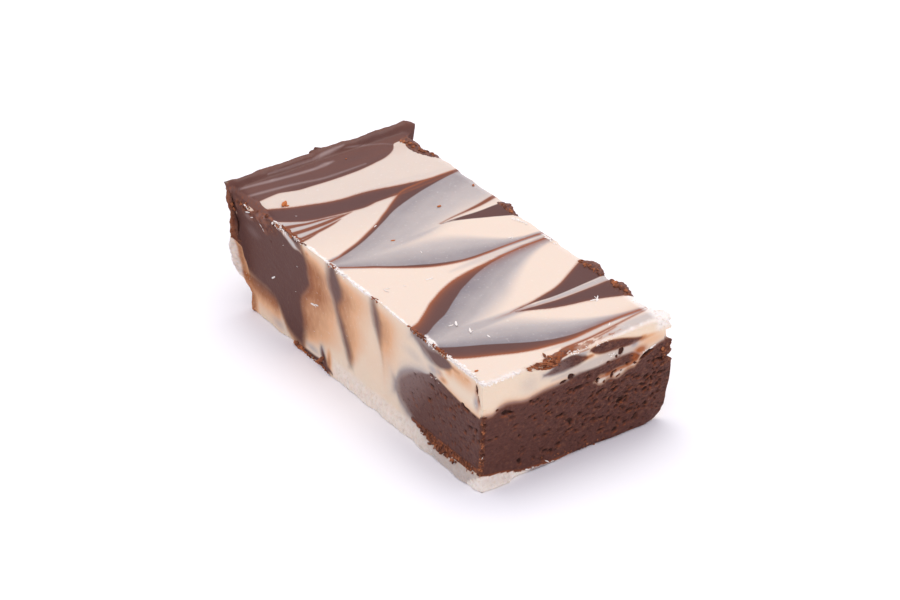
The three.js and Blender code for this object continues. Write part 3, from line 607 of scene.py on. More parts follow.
chocolate += (2.5 - chocolate) * strip_film * ramp(shreds - gaps, -0.15, 0.15) * (1 - 0.42 * ramp(end_x, -4, 1))
# Under the burrs the chocolate gives way to white, partly for the painted highlight.
whitened = most(ramp(low_pale, 0.4, 0.6), pale_fin, ramp(burr_and_highlight, 0.4, 0.7), ramp(end_burr_and_highlight, 0.4, 0.7))
chocolate += (-ALL_BROWN - chocolate) * whitened * (1 - brown_crumb) * (1 - strip_film)

# Tears that the knife pulled open in the chocolate, mostly level, more of them towards the right of the near end.
# Their hollows, like the pits, creases and notches, are painted dark as painted shade, and the lip below each tear
# gets a painted highlight. Each mark is its middle across and up, half its length and height, its lean in degrees and
# its depth.
def gouges(marks, across, up, on_side, taller):
    """How deep the tears on one side are, in millimetres, and how near each point is to the lip below one, where a
    painted highlight goes.
    """
    depth, lit_lower_lip = np.zeros(count), np.zeros(count)
    on = np.flatnonzero(on_side > 0.4)
    for middle_across, middle_up, half_length, half_height, lean, deep in marks:
        lean = math.radians(lean)
        over_by, up_by = across[on] - middle_across, up[on] - middle_up
        along = (over_by * math.cos(lean) + up_by * math.sin(lean)) / half_length
        over = (up_by * math.cos(lean) - over_by * math.sin(lean)) / (half_height * taller)
        depth[on] = np.maximum(depth[on], deep * np.clip(1.2 - 1.2 * (along ** 2 + over ** 2), 0, 1) ** 0.5)
        near_lip = np.exp(-((over + 1.5) / 0.6) ** 2 - along ** 2)
        lit_lower_lip[on] = np.maximum(lit_lower_lip[on], min(1, deep / 0.5) * near_lip)
    return depth, lit_lower_lip

end_marks = [
    (-16.9, 15.7, 0.75, 0.45, -10, 0.5), (-15.4, 15.3, 0.8, 0.2, -14, 0.5), (-18.8, 16.9, 0.4, 0.16, 0, 0.3),
    (-14.4, 11.8, 0.75, 0.16, 0, 0.3), (-14.5, 11, 0.5, 0.14, 0, 0.25), (-18.9, 10.8, 0.4, 0.2, -20, 0.4),
    (-20.4, 10.6, 0.7, 0.15, -4, 0.4), (-10.5, 12.6, 1, 0.17, 10, 0.4), (-9.8, 11.6, 0.45, 0.15, -20, 0.4),
    (-6.6, 12.1, 1, 0.16, 14, 0.4), (-7.3, 12.7, 0.5, 0.14, 5, 0.3), (-4.4, 13.3, 0.65, 0.17, 14, 0.4),
    (-5.5, 16, 0.3, 0.2, 0, 0.3), (-4, 10.2, 1.1, 0.17, 3, 0.4), (-3.3, 10.3, 0.45, 0.27, 0, 0.6),
    (-8.8, 9.9, 0.7, 0.15, 0, 0.2), (-9.7, 7.7, 0.45, 0.22, 0, 0.5), (-6.3, 7.8, 0.45, 0.17, -20, 0.4),
    (-4.3, 7.2, 0.4, 0.14, -20, 0.3), (-1.6, 7.6, 0.3, 0.3, 0, 0.5), (-13.8, 3.6, 0.55, 0.32, 0, 0.6),
    (-6.1, 3.3, 0.32, 0.26, 0, 0.5), (-4.1, 3.9, 0.45, 0.2, 0, 0.5), (-8.6, 2.6, 0.45, 0.22, 0, 0.4),
    (-13.6, 5.5, 0.3, 0.2, 0, 0.25), (-1.5, 18.3, 0.7, 0.5, 0, 0.28), (-3.2, 17.8, 0.85, 0.22, 5, 0.32),
    (-0.9, 11.9, 0.4, 0.22, 0, 0.3), (-0.6, 14.7, 0.3, 0.27, 0, 0.3), (0.8, 15.2, 1.2, 0.25, -3, 0.4),
    (3, 16.8, 0.65, 0.17, -15, 0.45), (5, 15, 0.45, 0.55, 0, 0.3), (8.6, 15.1, 0.5, 0.6, -20, 0.3),
    (3.5, 11.8, 0.65, 0.2, 8, 0.5), (5.8, 12.3, 1.2, 0.2, 10, 0.6), (9.2, 11.7, 1.1, 0.2, 12, 0.55),
    (11, 12.7, 0.35, 0.17, 0, 0.4), (9, 12.9, 0.45, 0.14, 0, 0.3), (10.5, 8.5, 0.75, 0.42, 20, 0.4),
    (9.6, 7.5, 0.55, 0.24, 10, 0.5), (5.2, 8.8, 1, 0.16, 0, 0.45), (1, 8.9, 0.7, 0.27, 0, 0.5),
    (1.8, 8, 0.32, 0.2, 0, 0.4), (8, 9.4, 0.3, 0.4, 0, 0.4), (1.8, 6, 0.26, 0.4, 0, 0.5),
    (4.5, 6.1, 0.8, 0.18, 0, 0.35), (7.6, 5.4, 0.3, 0.4, 0, 0.4), (6.1, 1.6, 0.45, 0.25, 0, 0.4),
    (12.2, 13.5, 1, 0.15, 0, 0.35), (14.5, 9.4, 0.4, 0.25, -10, 0.5), (16.5, 9, 0.65, 0.25, 10, 0.5),
    (18, 9.3, 0.5, 0.25, 0, 0.5), (19.7, 9.1, 0.6, 0.34, 0, 0.4), (15.8, 10.4, 0.5, 0.2, 0, 0.45),
    (17.2, 10.6, 0.8, 0.14, 0, 0.35), (17.2, 11.7, 0.4, 0.28, 0, 0.4), (18.2, 10.9, 0.22, 0.5, 0, 0.5),
    (18.5, 12.9, 0.32, 0.22, 0, 0.45), (16.7, 5.7, 0.65, 0.24, 25, 0.5), (13.2, 5.6, 0.26, 0.3, 0, 0.4),
    (19.5, 5.8, 0.35, 0.15, -20, 0.35), (20.3, 7.2, 0.8, 0.14, -5, 0.35), (12.7, 1.7, 0.7, 0.2, 0, 0.4),
    (11.4, 6.3, 0.55, 0.15, -35, 0.4), (13.9, 12.4, 0.5, 0.15, -15, 0.35), (20.3, 14.7, 1.3, 0.18, -14, 0.6),
    (16.7, 17.1, 1.9, 0.2, 24, 0.5), (17.9, 17.7, 0.6, 0.18, -15, 0.5), (10.4, 19.8, 0.6, 0.95, -12, 0.22),
    (9.6, 19, 0.4, 0.3, 0, 0.3), (7.5, 18.4, 0.5, 0.16, 0, 0.3)]
left_marks = [
    (27.8, 14.7, 0.9, 0.24, 0, 0.5), (27.6, 17.1, 0.7, 0.22, 0, 0.5), (29, 16.6, 0.5, 0.2, 10, 0.4),
    (38.8, 15.8, 0.9, 0.26, -8, 0.6), (40.2, 15.5, 0.7, 0.22, -12, 0.6), (36.9, 15, 0.6, 0.18, 12, 0.4),
    (32.5, 14.7, 0.75, 0.2, 15, 0.45), (27, 11.2, 0.65, 0.22, 5, 0.5), (24.5, 10.9, 0.5, 0.18, 10, 0.4),
    (34, 12.8, 0.6, 0.18, 15, 0.45), (35.5, 11.5, 0.5, 0.18, 0, 0.4), (41, 12.1, 0.9, 0.18, 0, 0.45),
    (43, 12.6, 0.6, 0.2, 12, 0.45), (39.3, 10.3, 0.5, 0.22, 5, 0.45), (37.8, 5.3, 0.25, 0.3, 0, 0.35),
    (43, 21.8, 0.45, 1.1, 12, 0.34), (43.6, 20, 0.3, 1.1, 18, 0.28), (44.2, 18.7, 0.3, 0.8, 30, 0.22),
    (21, 9.4, 0.6, 0.16, 10, 0.3), (30.2, 10.9, 0.4, 0.16, 10, 0.3), (36, 12.9, 0.4, 0.16, 0, 0.3),
    (-39.4, 22, 0.8, 0.25, 5, 0.5), (-37.4, 21.7, 0.7, 0.2, 10, 0.4), (-29.2, 19.3, 0.5, 0.15, 30, 0.25)]
dice = random.Random(11)
for _ in range(150):
    end_marks.append((-16 + 37 * dice.random() ** 0.6, dice.uniform(2.5, 16.5), dice.uniform(0.2, 0.95),
                      dice.uniform(0.13, 0.26), dice.uniform(-8, 18), dice.uniform(0.2, 0.5)))
for _ in range(60):
    left_marks.append((20 + 24 * dice.random() ** 0.7, dice.uniform(5, 15.4), dice.uniform(0.2, 0.8),
                       dice.uniform(0.13, 0.22), dice.uniform(0, 25), dice.uniform(0.18, 0.42)))
frayed_across, frayed_up = 0.14 * lumps, 0.1 * lumps + 0.06 * fine
end_depth, end_lit_lower_lip = gouges(end_marks, face_x + frayed_across, face_h + frayed_up, on_end, 1.3)
left_depth, left_lit_lower_lip = gouges(left_marks, side_u + frayed_across, side_h + frayed_up, on_left, 1.2)
notches = ramp(grain(1.1, (9, 9, 0.8), seed=34) + 0.5 * grain(0.5, (3, 3, 1), seed=35), 0.05, 0.55)
notches = most(notches, *[oval(face_h, none, middle, 0, half, 1)
                          for middle, half in ((14.4, 0.5), (12.2, 0.8), (10.9, 0.4), (7.7, 0.5))])
right_notches = np.maximum(0.9 * ramp(face_h, 18.2, 18.8) * (1 - ramp(face_h, 20.3, 20.9)),
                           0.6 * oval(face_h, none, 14.5, 0, 0.5, 1)) + 0.25 * notches
cad_pits = in_end_face * ramp(behind_face, 0.2, 0.5) * (x < RIGHT - 1)
block_crease = ramp(side_u, 19, 22) * np.exp(-((side_h - 3.8 - 0.15 * lumps) / 0.22) ** 2) * on_left * (side_u < 43.5)
# How deep each point lies in a tear, pit, crease or notch. These hollows are painted dark: painted shade.
recess_shade = most(end_depth, left_depth, 0.26 * cad_pits, 0.25 * block_crease, 0.45 * crease,
            0.28 * near_corner * notches * (1 - ramp(face_h, 15.6, 16.6)))
lit_lower_lip = np.maximum(end_lit_lower_lip, left_lit_lower_lip)
torn = on_end * ramp(end_chocolate, 0.2, 1.2) * (0.5 + 0.5 * ramp(x, -12, 2) * ramp(z, 1, 5))
torn = np.maximum(torn, 0.6 * on_left * ramp(near_block, -0.2, 1) * (0.6 + 0.4 * ramp(-y, 22, 40)))
torn *= 1 - brown_crumb
# Vanilla in these hollows turns brown and then dark, as painted shade.
chocolate += (3 - chocolate) * ramp(recess_shade, 0.15, 0.3)
# The lower lips of the tears are painted orange-brown: a painted highlight where they face the light.
fringes_and_lit_lips = np.maximum(fringes_and_lit_lips, 0.75 * lit_lower_lip * ramp(fine, -0.6, 0.4) * ramp(chocolate, 0, 1))

# The relief, in millimetres: first what stands off or sinks in all over, then the tears and ragged corners, then the
# heel, edges, rims, lip and base, which are drawn in or out, and last the lowest edge, which is rounded under.
UNDERCUT = 0.6
cut = np.clip(1 - on_top, 0, 1)
relief = (crumbled * (0.18 * lumps + 0.2 * fine) + low_pale * (0.15 * lumps + 0.12 * fine)
          + cut * 0.03 * fine + 0.12 * far_edge * lumps
          + 0.04 * cut * grain(2.4, (1, 1, 0.5), seed=16) + 0.11 * torn * grain(0.6, (1.6, 1.6, 1), seed=19)
          + 0.25 * strip_torn * shreds + 0.1 * lit_lower_lip)
relief *= ramp(z, 0.15, 0.8)
place += facing * relief[:, None]
ragged = 0.5 * near_corner * notches
place[:, 0] += left_depth + ragged - right_corner * right_notches + 0.4 * crease
place[:, 1] += (end_depth * (1 - 0.7 * cad_pits) - 0.5 * cad_pits * np.clip(behind_face, 0, 1.2) + ragged
                + 0.7 * right_corner * right_notches)
tucked = ramp(x, 18, 22) * ramp(z, 0.5, 2.5) * (1 - ramp(z, 5, 11)) * (1 - ramp(y, -43, -30))
place[:, 0] -= 0.6 * tucked
far_heel = ramp(y, 33, 38) * (1 - ramp(x, -20, -13)) * (1 - ramp(z, 0.5, 4.5))
place[:, 1] -= 1.8 * far_heel
fin_middle = fin * np.exp(-((side_h - 17.2) / 2) ** 2)
place[:, 1] -= 0.7 * fin_middle
place[:, 2] += 0.45 * far_edge
place[:, 0] += 0.4 * rims * np.where(y < 0, 1, -1)
lip_end = np.exp(-((x - 21.3) / 1.2) ** 2 - ((y - 42.2) / 1.3) ** 2) * ramp(z, 18, 20)
place[:, 0] -= lip_end
near_base = (1 - ramp(y, NEAR + 1.5, NEAR + 3.5)) * ramp(x, -17, -13) * (1 - ramp(x, 16, 21))
place[:, 1] -= near_base * (1 - ramp(z, 0.5, 4))
outward = facing[:, :2] / np.maximum(np.hypot(facing[:, 0], facing[:, 1]), 0.2)[:, None]
undercut = UNDERCUT - np.sqrt(UNDERCUT ** 2 - np.clip(UNDERCUT - z, 0, UNDERCUT) ** 2)
place[:, :2] -= outward * (undercut * (1 - share[:, 5] ** 2))[:, None]
bar_mesh.vertices.foreach_set("co", ((place + BLOCK_MIDDLE) * MM).ravel())

# What the material reads at each point.
for name, values in (
        ("chocolate", chocolate), ("veil", np.clip(veils_and_shade, 0, 1)), ("haze_and_sheen", np.clip(haze_and_sheen_amount, 0, 1)),
        ("caramel", np.clip(caramel, 0, 1)), ("crumbled", np.clip(crumbled, 0, 1)), ("pale", pale), ("recess_shade", recess_shade),
        ("on_top", on_top), ("fringe", np.clip(fringes_and_lit_lips, 0, 1)), ("torn", torn)):
    layer = bar_mesh.attributes.new(name, "FLOAT", "POINT")
    layer.data.foreach_set("value", values.astype(np.float32))
for polygon in bar_mesh.polygons:
    polygon.use_smooth = True
bar_mesh.update()

# The fudge itself: fine sugar crystals in butter and milk, with chocolate stirred into a part of it. It set satin on
# the poured top and is duller where it was cut or torn. The marbling goes from vanilla to brown by the kept numbers.
class Wire:
    """A socket of a material, so that shader maths reads as arithmetic."""
    def __init__(self, tree, socket=None):
        self.tree, self.socket = tree, socket

    def node(self, kind, settings=None, inputs=None, output=0):
        made = self.tree.nodes.new(kind)
        for name, value in (settings or {}).items():
            setattr(made, name, value)
        for name, value in (inputs or {}).items():
            if isinstance(value, Wire):
                self.tree.links.new(value.socket, made.inputs[name])
            else:
                made.inputs[name].default_value = value
        return Wire(self.tree, made.outputs[output] if made.outputs else None)

    def math(self, operation, first, second):
        return self.node("ShaderNodeMath", {"operation": operation}, {0: first, 1: second})

    def __add__(self, other): return self.math("ADD", self, other)
    def __radd__(self, other): return self.math("ADD", other, self)
    def __sub__(self, other): return self.math("SUBTRACT", self, other)
    def __rsub__(self, other): return self.math("SUBTRACT", other, self)
    def __mul__(self, other): return self.math("MULTIPLY", self, other)

    def eased(self, low, high):
        """0 below low and 1 above high, eased between them."""
        return self.node("ShaderNodeMapRange", {"interpolation_type": "SMOOTHSTEP"},
                         {"Value": self, "From Min": low, "From Max": high})

    def blend(self, first, second):
        """A colour that goes from first to second as this value goes from 0 to 1."""
        return self.node("ShaderNodeMix", {"data_type": "RGBA"}, {0: self, 6: first, 7: second}, output=2)

def colour(red, green, blue):
    """A colour as seen on a screen, from 0 to 255, as the shader wants it."""
    def light(value):
        value /= 255
        return value / 12.92 if value < 0.04045 else ((value + 0.055) / 1.055) ** 2.4
    return (light(red), light(green), light(blue), 1)

def empty_material(name):
    """A new material with nothing in it yet, and the board that its nodes go on."""
    made = bpy.data.materials.new(name)
    made.use_nodes = True
    made.node_tree.nodes.clear()
    return made, Wire(made.node_tree)

def shade(inputs, settings=None):
    """Gives the material on the board its one shader."""
    shader = board.node("ShaderNodeBsdfPrincipled", settings, inputs)
    board.node("ShaderNodeOutputMaterial", None, {"Surface": shader})

fudge, board = empty_material("marbled_fudge")

def reading(name):
    """One of the numbers kept on a piece's points."""
    return board.node("ShaderNodeAttribute", {"attribute_name": name}, output=2)

def mottle(scale, detail=3.0, stretch=(1, 1, 1)):
    """Cloudy noise from 0 to 1 that stays put on the piece."""
    spot = board.node("ShaderNodeTexCoord", output=3)
    spot = board.node("ShaderNodeMapping", {"vector_type": "POINT"}, {"Vector": spot, "Scale": stretch})
    return board.node("ShaderNodeTexNoise", {"noise_dimensions": "3D"},
                      {"Vector": spot, "Scale": scale, "Detail": detail, "Roughness": 0.55})

VANILLA = colour(231, 212, 192)
VANILLA_CUT_AND_LIT = colour(240, 221, 195)
PEACH = colour(230, 181, 139)
CARAMEL = colour(169, 111, 73)
CHOCOLATE = colour(91, 56, 48)
CHOCOLATE_DRY_AND_LIT = colour(138, 91, 68)
CHOCOLATE_IN_SHADE = colour(60, 34, 26)
CHOCOLATE_HAZE_AND_SHEEN = colour(160, 140, 135)
FRINGE_AND_LIT_LIP = colour(163, 84, 32)
MILKY_VEIL = colour(189, 179, 172)
GREY_VEIL_AND_SHADE = colour(124, 117, 121)
PALE_DRY_AND_HIGHLIGHT = colour(250, 245, 238)
OLD_CREAM = colour(206, 180, 150)

cloud = mottle(260)
speck = mottle(1500, 4.0)
depth = reading("chocolate") + (cloud - 0.5) * 0.4
top_share = reading("on_top")
warm = reading("caramel")
fringe_and_lit_lip_amount = reading("fringe")
# Cut faces take a warmer vanilla, also made lighter to stand in for the light on the near end: partly painted light.
vanilla = top_share.blend(VANILLA_CUT_AND_LIT, VANILLA)
vanilla = (warm * 2).blend(vanilla, PEACH)
vanilla = (warm * 2 - 1).blend(vanilla, CARAMEL)
# Grey veils of thin chocolate on the vanilla, and on the ledge by the near foot a painted shade.
thin_chocolate_and_shade = reading("veil") * (0.95 + (cloud - 0.5) * 0.2)
vanilla = (thin_chocolate_and_shade * 2).blend(vanilla, MILKY_VEIL)
vanilla = (thin_chocolate_and_shade * 2 - 1).blend(vanilla, GREY_VEIL_AND_SHADE)
# Orange-brown fringes at the marbling's crisp edges, and on the tears' lower lips a painted highlight.
vanilla = (fringe_and_lit_lip_amount * 0.9).blend(vanilla, FRINGE_AND_LIT_LIP)
# Pale dry vanilla, and along the burrs a painted highlight.
vanilla = reading("pale").blend(vanilla, PALE_DRY_AND_HIGHLIGHT)
vanilla = ((speck - 0.5).eased(0.08, 0.3) * (0.25 + reading("crumbled") * 0.5)).blend(vanilla, PALE_DRY_AND_HIGHLIGHT)
vanilla = (speck.eased(0.5, 0.34) * reading("crumbled") * 0.45).blend(vanilla, OLD_CREAM)
# Grey haze on the chocolate, partly a painted sheen.
brown = reading("haze_and_sheen").blend(CHOCOLATE, CHOCOLATE_HAZE_AND_SHEEN)
brown = (fringe_and_lit_lip_amount * 0.85).blend(brown, FRINGE_AND_LIT_LIP)
brown = (reading("crumbled") * speck.eased(0.42, 0.6) * 0.6).blend(brown, CHOCOLATE_DRY_AND_LIT)
brown = ((speck - 0.5).eased(0.06, 0.24) * (1 - top_share) * 0.3).blend(brown, CHOCOLATE_DRY_AND_LIT)
flaw = mottle(1.0, 4.0, stretch=(1000, 1000, 2000))
# Pinholes in the torn chocolate, painted dark: painted shade.
pinhole = (flaw + reading("torn") * 0.05).eased(0.64, 0.72) * reading("torn").eased(0.0, 0.3)
# Grit on the torn faces: the raised grains are painted lighter and the low ones darker, following the bump: painted
# highlight and painted shade.
grit = mottle(1.0, 2.0, stretch=(1300, 1300, 1900))
brown = (grit.eased(0.53, 0.72) * reading("torn") * 0.48).blend(brown, CHOCOLATE_DRY_AND_LIT)
brown = (grit.eased(0.47, 0.3) * reading("torn") * 0.6).blend(brown, CHOCOLATE_IN_SHADE)
brown = (pinhole * 0.7).blend(brown, CHOCOLATE_IN_SHADE)
# The hollows of tears, pits, creases and notches, darkened: painted shade.
brown = reading("recess_shade").eased(0.1, 0.4).blend(brown, CHOCOLATE_IN_SHADE)
paint = depth.eased(-0.9, 0.9).blend(vanilla, brown)
dullness = 0.55 + reading("crumbled") * 0.25 + (cloud - 0.5) * 0.12
height = (speck - 0.5) * (0.15 + (1 - top_share) * 0.8) + (cloud - 0.5) * 0.4 - pinhole * 1.2
height = height + (grit - 0.5) * reading("torn") * 3
tilted = board.node("ShaderNodeBump", None, {"Strength": 0.5, "Distance": 0.18 * MM, "Height": height})
shade({"Base Color": paint, "Roughness": dullness, "Normal": tilted, "Subsurface Weight": 0.15,
       "Subsurface Scale": 1.2 * MM, "Subsurface Radius": (1.0, 0.6, 0.4), "Specular IOR Level": 0.12,
       "Coat Weight": top_share.eased(0.4, 0.9) * 0.3, "Coat Roughness": 0.3, "Coat IOR": 1.45},
      {"subsurface_method": "RANDOM_WALK"})
bar_mesh.materials.clear()
bar_mesh.materials.append(fudge)
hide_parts("fudge_bar")
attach(bar, "root")

# Flakes of vanilla that broke off under the knife: dry white slivers that lie on the top and cling along the cut
# edges. Those that show singly are laid one by one, and the rest are strewn along the edges. Their lumps come from
# noise with a set seed, so that every run breaks them the same way.
surface = bmesh.new()
surface.from_mesh(bar_mesh)
ground = BVHTree.FromBMesh(surface)
surface.free()

UNEVEN, BENT, TIPPED = (0.8, 1.2), (0.2, 0.9), (-0.5, 0.5)
STANDS_OFF = 0.25
LARGE_BIT = 0.9
noise.seed_set(23)

def bit(shape, dice, spot, size, shapes, turned=None, toasted=0):
    """Adds one broken bit at the nearest place on the bar to a spot in millimetres from the block's middle."""
    length, width, thickness = (size * part * dice.uniform(*UNEVEN) for part in shapes)
    where, upright, _, _ = ground.find_nearest((Vector(spot) + Vector(BLOCK_MIDDLE)) * MM)
    bend = dice.uniform(*BENT) * length
    corners = bmesh.ops.create_icosphere(shape, subdivisions=2 if size > LARGE_BIT else 1, radius=0.5)["verts"]
    toast = shape.verts.layers.float.get("toasted")
    for corner in corners:
        if toast:
            corner[toast] = toasted
        corner.co += 0.2 * noise.noise_vector(corner.co * 3 + Vector((size * 9, 0, 0)))
        arch = bend * 0.3 * corner.co.x ** 2
        corner.co = Vector((corner.co.x * length, corner.co.y * width, corner.co.z * thickness + arch))
    spin = dice.uniform(0, math.tau) if turned is None else math.radians(turned)
    turn = upright.to_track_quat("Z", "Y").to_matrix().to_4x4() @ Matrix.Rotation(spin, 4, "Z")
    turn = turn @ Matrix.Rotation(dice.uniform(*TIPPED), 4, "X")
    lift = Matrix.Translation(where + upright * thickness * STANDS_OFF * MM)
    bmesh.ops.transform(shape, matrix=lift @ turn @ Matrix.Diagonal((MM, MM, MM, 1)), verts=corners)
    for corner in corners:
        corner.co.z = max(corner.co.z, 0)

def strew(shape, dice, first, last, amount, sizes, shapes, jitter=0.4, turned=None):
    """Strews bits along the line from first to last, lying any way or within 15 degrees of one."""
    for _ in range(amount):
        spot = Vector(first).lerp(Vector(last), dice.random())
        spot += Vector([dice.uniform(-jitter, jitter) for _ in range(3)])
        bit(shape, dice, spot, dice.uniform(*sizes), shapes, turned=turned and turned + dice.uniform(-15, 15))

def finish_bits(shape, name):
    """Turns the gathered bits into one piece of the bar."""
    mesh = bpy.data.meshes.new(name)
    bmesh.ops.recalc_face_normals(shape, faces=shape.faces)
    shape.to_mesh(mesh)
    shape.free()
    piece = show(name, mesh)
    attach(piece, "root")
    return mesh

SLIVER = (1.0, 0.36, 0.2)
THREAD = (1.0, 0.22, 0.15)
EDGE_X = LEFT - 0.6
dice = random.Random(23)
flakes = bmesh.new()
for spot_x, spot_y, size, turned in (
        (-6.3, 15.5, 0.9, 20), (-4.3, 2, 0.8, 70), (13.3, -3.7, 1.5, 10), (13.6, -4, 0.8, 60), (-18.4, -6.2, 1.3, -40),
        (-17.6, -5.7, 1.0, 30), (-18, -6.6, 0.8, 80), (-14.2, -6.7, 0.8, 0), (-8.6, -7.2, 1.5, 15), (-7.9, -7, 0.8, 70),
        (-15.1, -23.9, 1.3, -45), (-13.9, -24, 2.1, 19), (-13.2, -27.8, 1.7, 50), (-12.9, -28, 0.8, -20),
        (-11.5, -31.6, 1.2, 20), (-10.2, -12.2, 0.4, 0), (13.3, -32.1, 1.7, -30), (14.3, -31.9, 1.5, 40),
        (13.9, -32.5, 1.2, 0), (14.2, -31.4, 0.8, 80), (10.3, -41.4, 1.2, 20), (-17.2, 27.8, 0.5, 0)):
    bit(flakes, dice, (spot_x, spot_y, TOP), size, THREAD, turned=turned)
for spot_u, spot_h, size, turned in (
        (-29.2, 10.6, 1.5, 39), (-14.6, 11.6, 1.5, 8), (-13.4, 12, 1.4, 12), (-14, 11.5, 1.0, -10),
        (-20.3, 17.6, 0.5, 0), (-25.2, 20.2, 0.5, 30), (-21.1, 11.3, 0.35, 0), (-14.3, 5.4, 0.4, 0),
        (-39.3, 22.3, 1.3, -25), (-38.2, 21.5, 1.5, -5), (-36.6, 21.2, 0.9, 20), (-27.6, 24.6, 1.6, 10),
        (-26.8, 24.9, 1.3, 60), (-28.3, 24.4, 1.2, -30), (-33.4, 20.8, 0.8, -30), (-32.5, 20.2, 0.9, -50),
        (-2.4, 10.4, 0.4, 0), (27.4, 17.4, 0.8, 15), (28.9, 16.8, 0.8, 30), (27.4, 16.4, 0.6, 0), (29.7, 16.2, 0.5, 0),
        (44.5, 6.9, 0.7, 60)):
    bit(flakes, dice, (LEFT - 0.4, -spot_u, spot_h), size, THREAD, turned=turned)
for first, last, amount, sizes in (
        ((EDGE_X, 29, 23.6), (EDGE_X, 24, 23.9), 14, (0.5, 1.3)),
        ((EDGE_X, 22, 24), (EDGE_X, 18, 24), 12, (0.3, 0.8)),
        ((EDGE_X + 0.4, 17, 24.2), (EDGE_X + 0.4, 8, 24.2), 12, (0.2, 0.5)),
        ((EDGE_X, 8, 24), (EDGE_X, 2, 24), 22, (0.3, 0.9)),
        ((EDGE_X + 0.4, 3, 24.2), (EDGE_X + 0.4, -6, 24.2), 10, (0.2, 0.5)),
        ((EDGE_X, -9, 24), (EDGE_X, -19, 24), 16, (0.2, 0.6)),
        ((EDGE_X, -25.5, 24), (EDGE_X, -29.5, 24), 22, (0.4, 1.2)),
        ((EDGE_X, -33.5, 24.2), (EDGE_X + 0.2, NEAR, 24), 76, (0.4, 1.15)),
        ((EDGE_X, NEAR, 23.6), (-13, NEAR, 23.8), 40, (0.35, 0.95)),
        ((18.4, 2.8, 23.8), (19.6, -0.6, 23.6), 20, (0.4, 1.2)),
        ((19.4, -6.4, 23.6), (19.7, -10.4, 23.6), 18, (0.4, 1.1)),
        ((19.8, -34.7, 23.4), (19.8, NEAR + 1, 23.2), 20, (0.2, 0.6)),
        ((20.3, NEAR, 23), (20.3, NEAR, 18.5), 9, (0.2, 0.6)),
        ((-1.6, NEAR, 24), (0.6, NEAR, 23.6), 8, (0.4, 0.9)),
        ((1.5, NEAR, 23.6), (9, NEAR, 23.6), 20, (0.25, 0.6)),
        ((15.8, NEAR, 17.6), (18.8, NEAR, 17.8), 14, (0.3, 0.8)),
        ((8, NEAR, 19.4), (9.4, NEAR, 20), 8, (0.3, 0.7)),
        ((-13.5, NEAR, 0.5), (-1.5, NEAR + 0.5, 0.4), 26, (0.3, 0.9))):
    strew(flakes, dice, first, last, amount, sizes, SLIVER)
flake_mesh = finish_bits(flakes, "vanilla_flakes")

CHALK = colour(236, 226, 214)
dry_vanilla, board = empty_material("dry_vanilla")
chalky = mottle(2200).eased(0.3, 0.7).blend(CHALK, PALE_DRY_AND_HIGHLIGHT)
shade({"Base Color": chalky, "Roughness": 0.7, "Specular IOR Level": 0.25})
flake_mesh.materials.append(dry_vanilla)

# Crumbs of chocolate that broke off at the rims, the foot and the corners and cling there, the shreds that hang in
# the torn strip, and a few toasted-looking ones that fell on the top. They are dry and dusty.
LUMP = (1.0, 0.8, 0.6)
FLAT_CRUMB = (1.0, 0.7, 0.4)
SHRED, CURL = (1.0, 0.2, 0.14), (1.0, 0.4, 0.3)
TORN_WAY = -23
dice = random.Random(37)
crumbs = bmesh.new()
crumbs.verts.layers.float.new("toasted")
for spot_x, spot_y, size in ((-16.7, 33, 1.7), (-16.4, 32.3, 0.8), (8.8, 14.8, 1.0), (-6.5, 8.8, 0.8),
                             (-20.5, -40.4, 0.8), (3.8, 41.3, 0.5)):
    bit(crumbs, dice, (spot_x, spot_y, TOP), size, FLAT_CRUMB, toasted=0.9)
bit(crumbs, dice, (19.3, 17.8, TOP), 1.0, FLAT_CRUMB)
for spot_x, spot_y, size in ((-0.9, 46.6, 2.3), (0.3, 46.9, 1.7), (-0.3, 47.2, 1.4)):
    bit(crumbs, dice, (spot_x, spot_y, TOP + 0.3), size, LUMP, turned=15, toasted=-0.9)
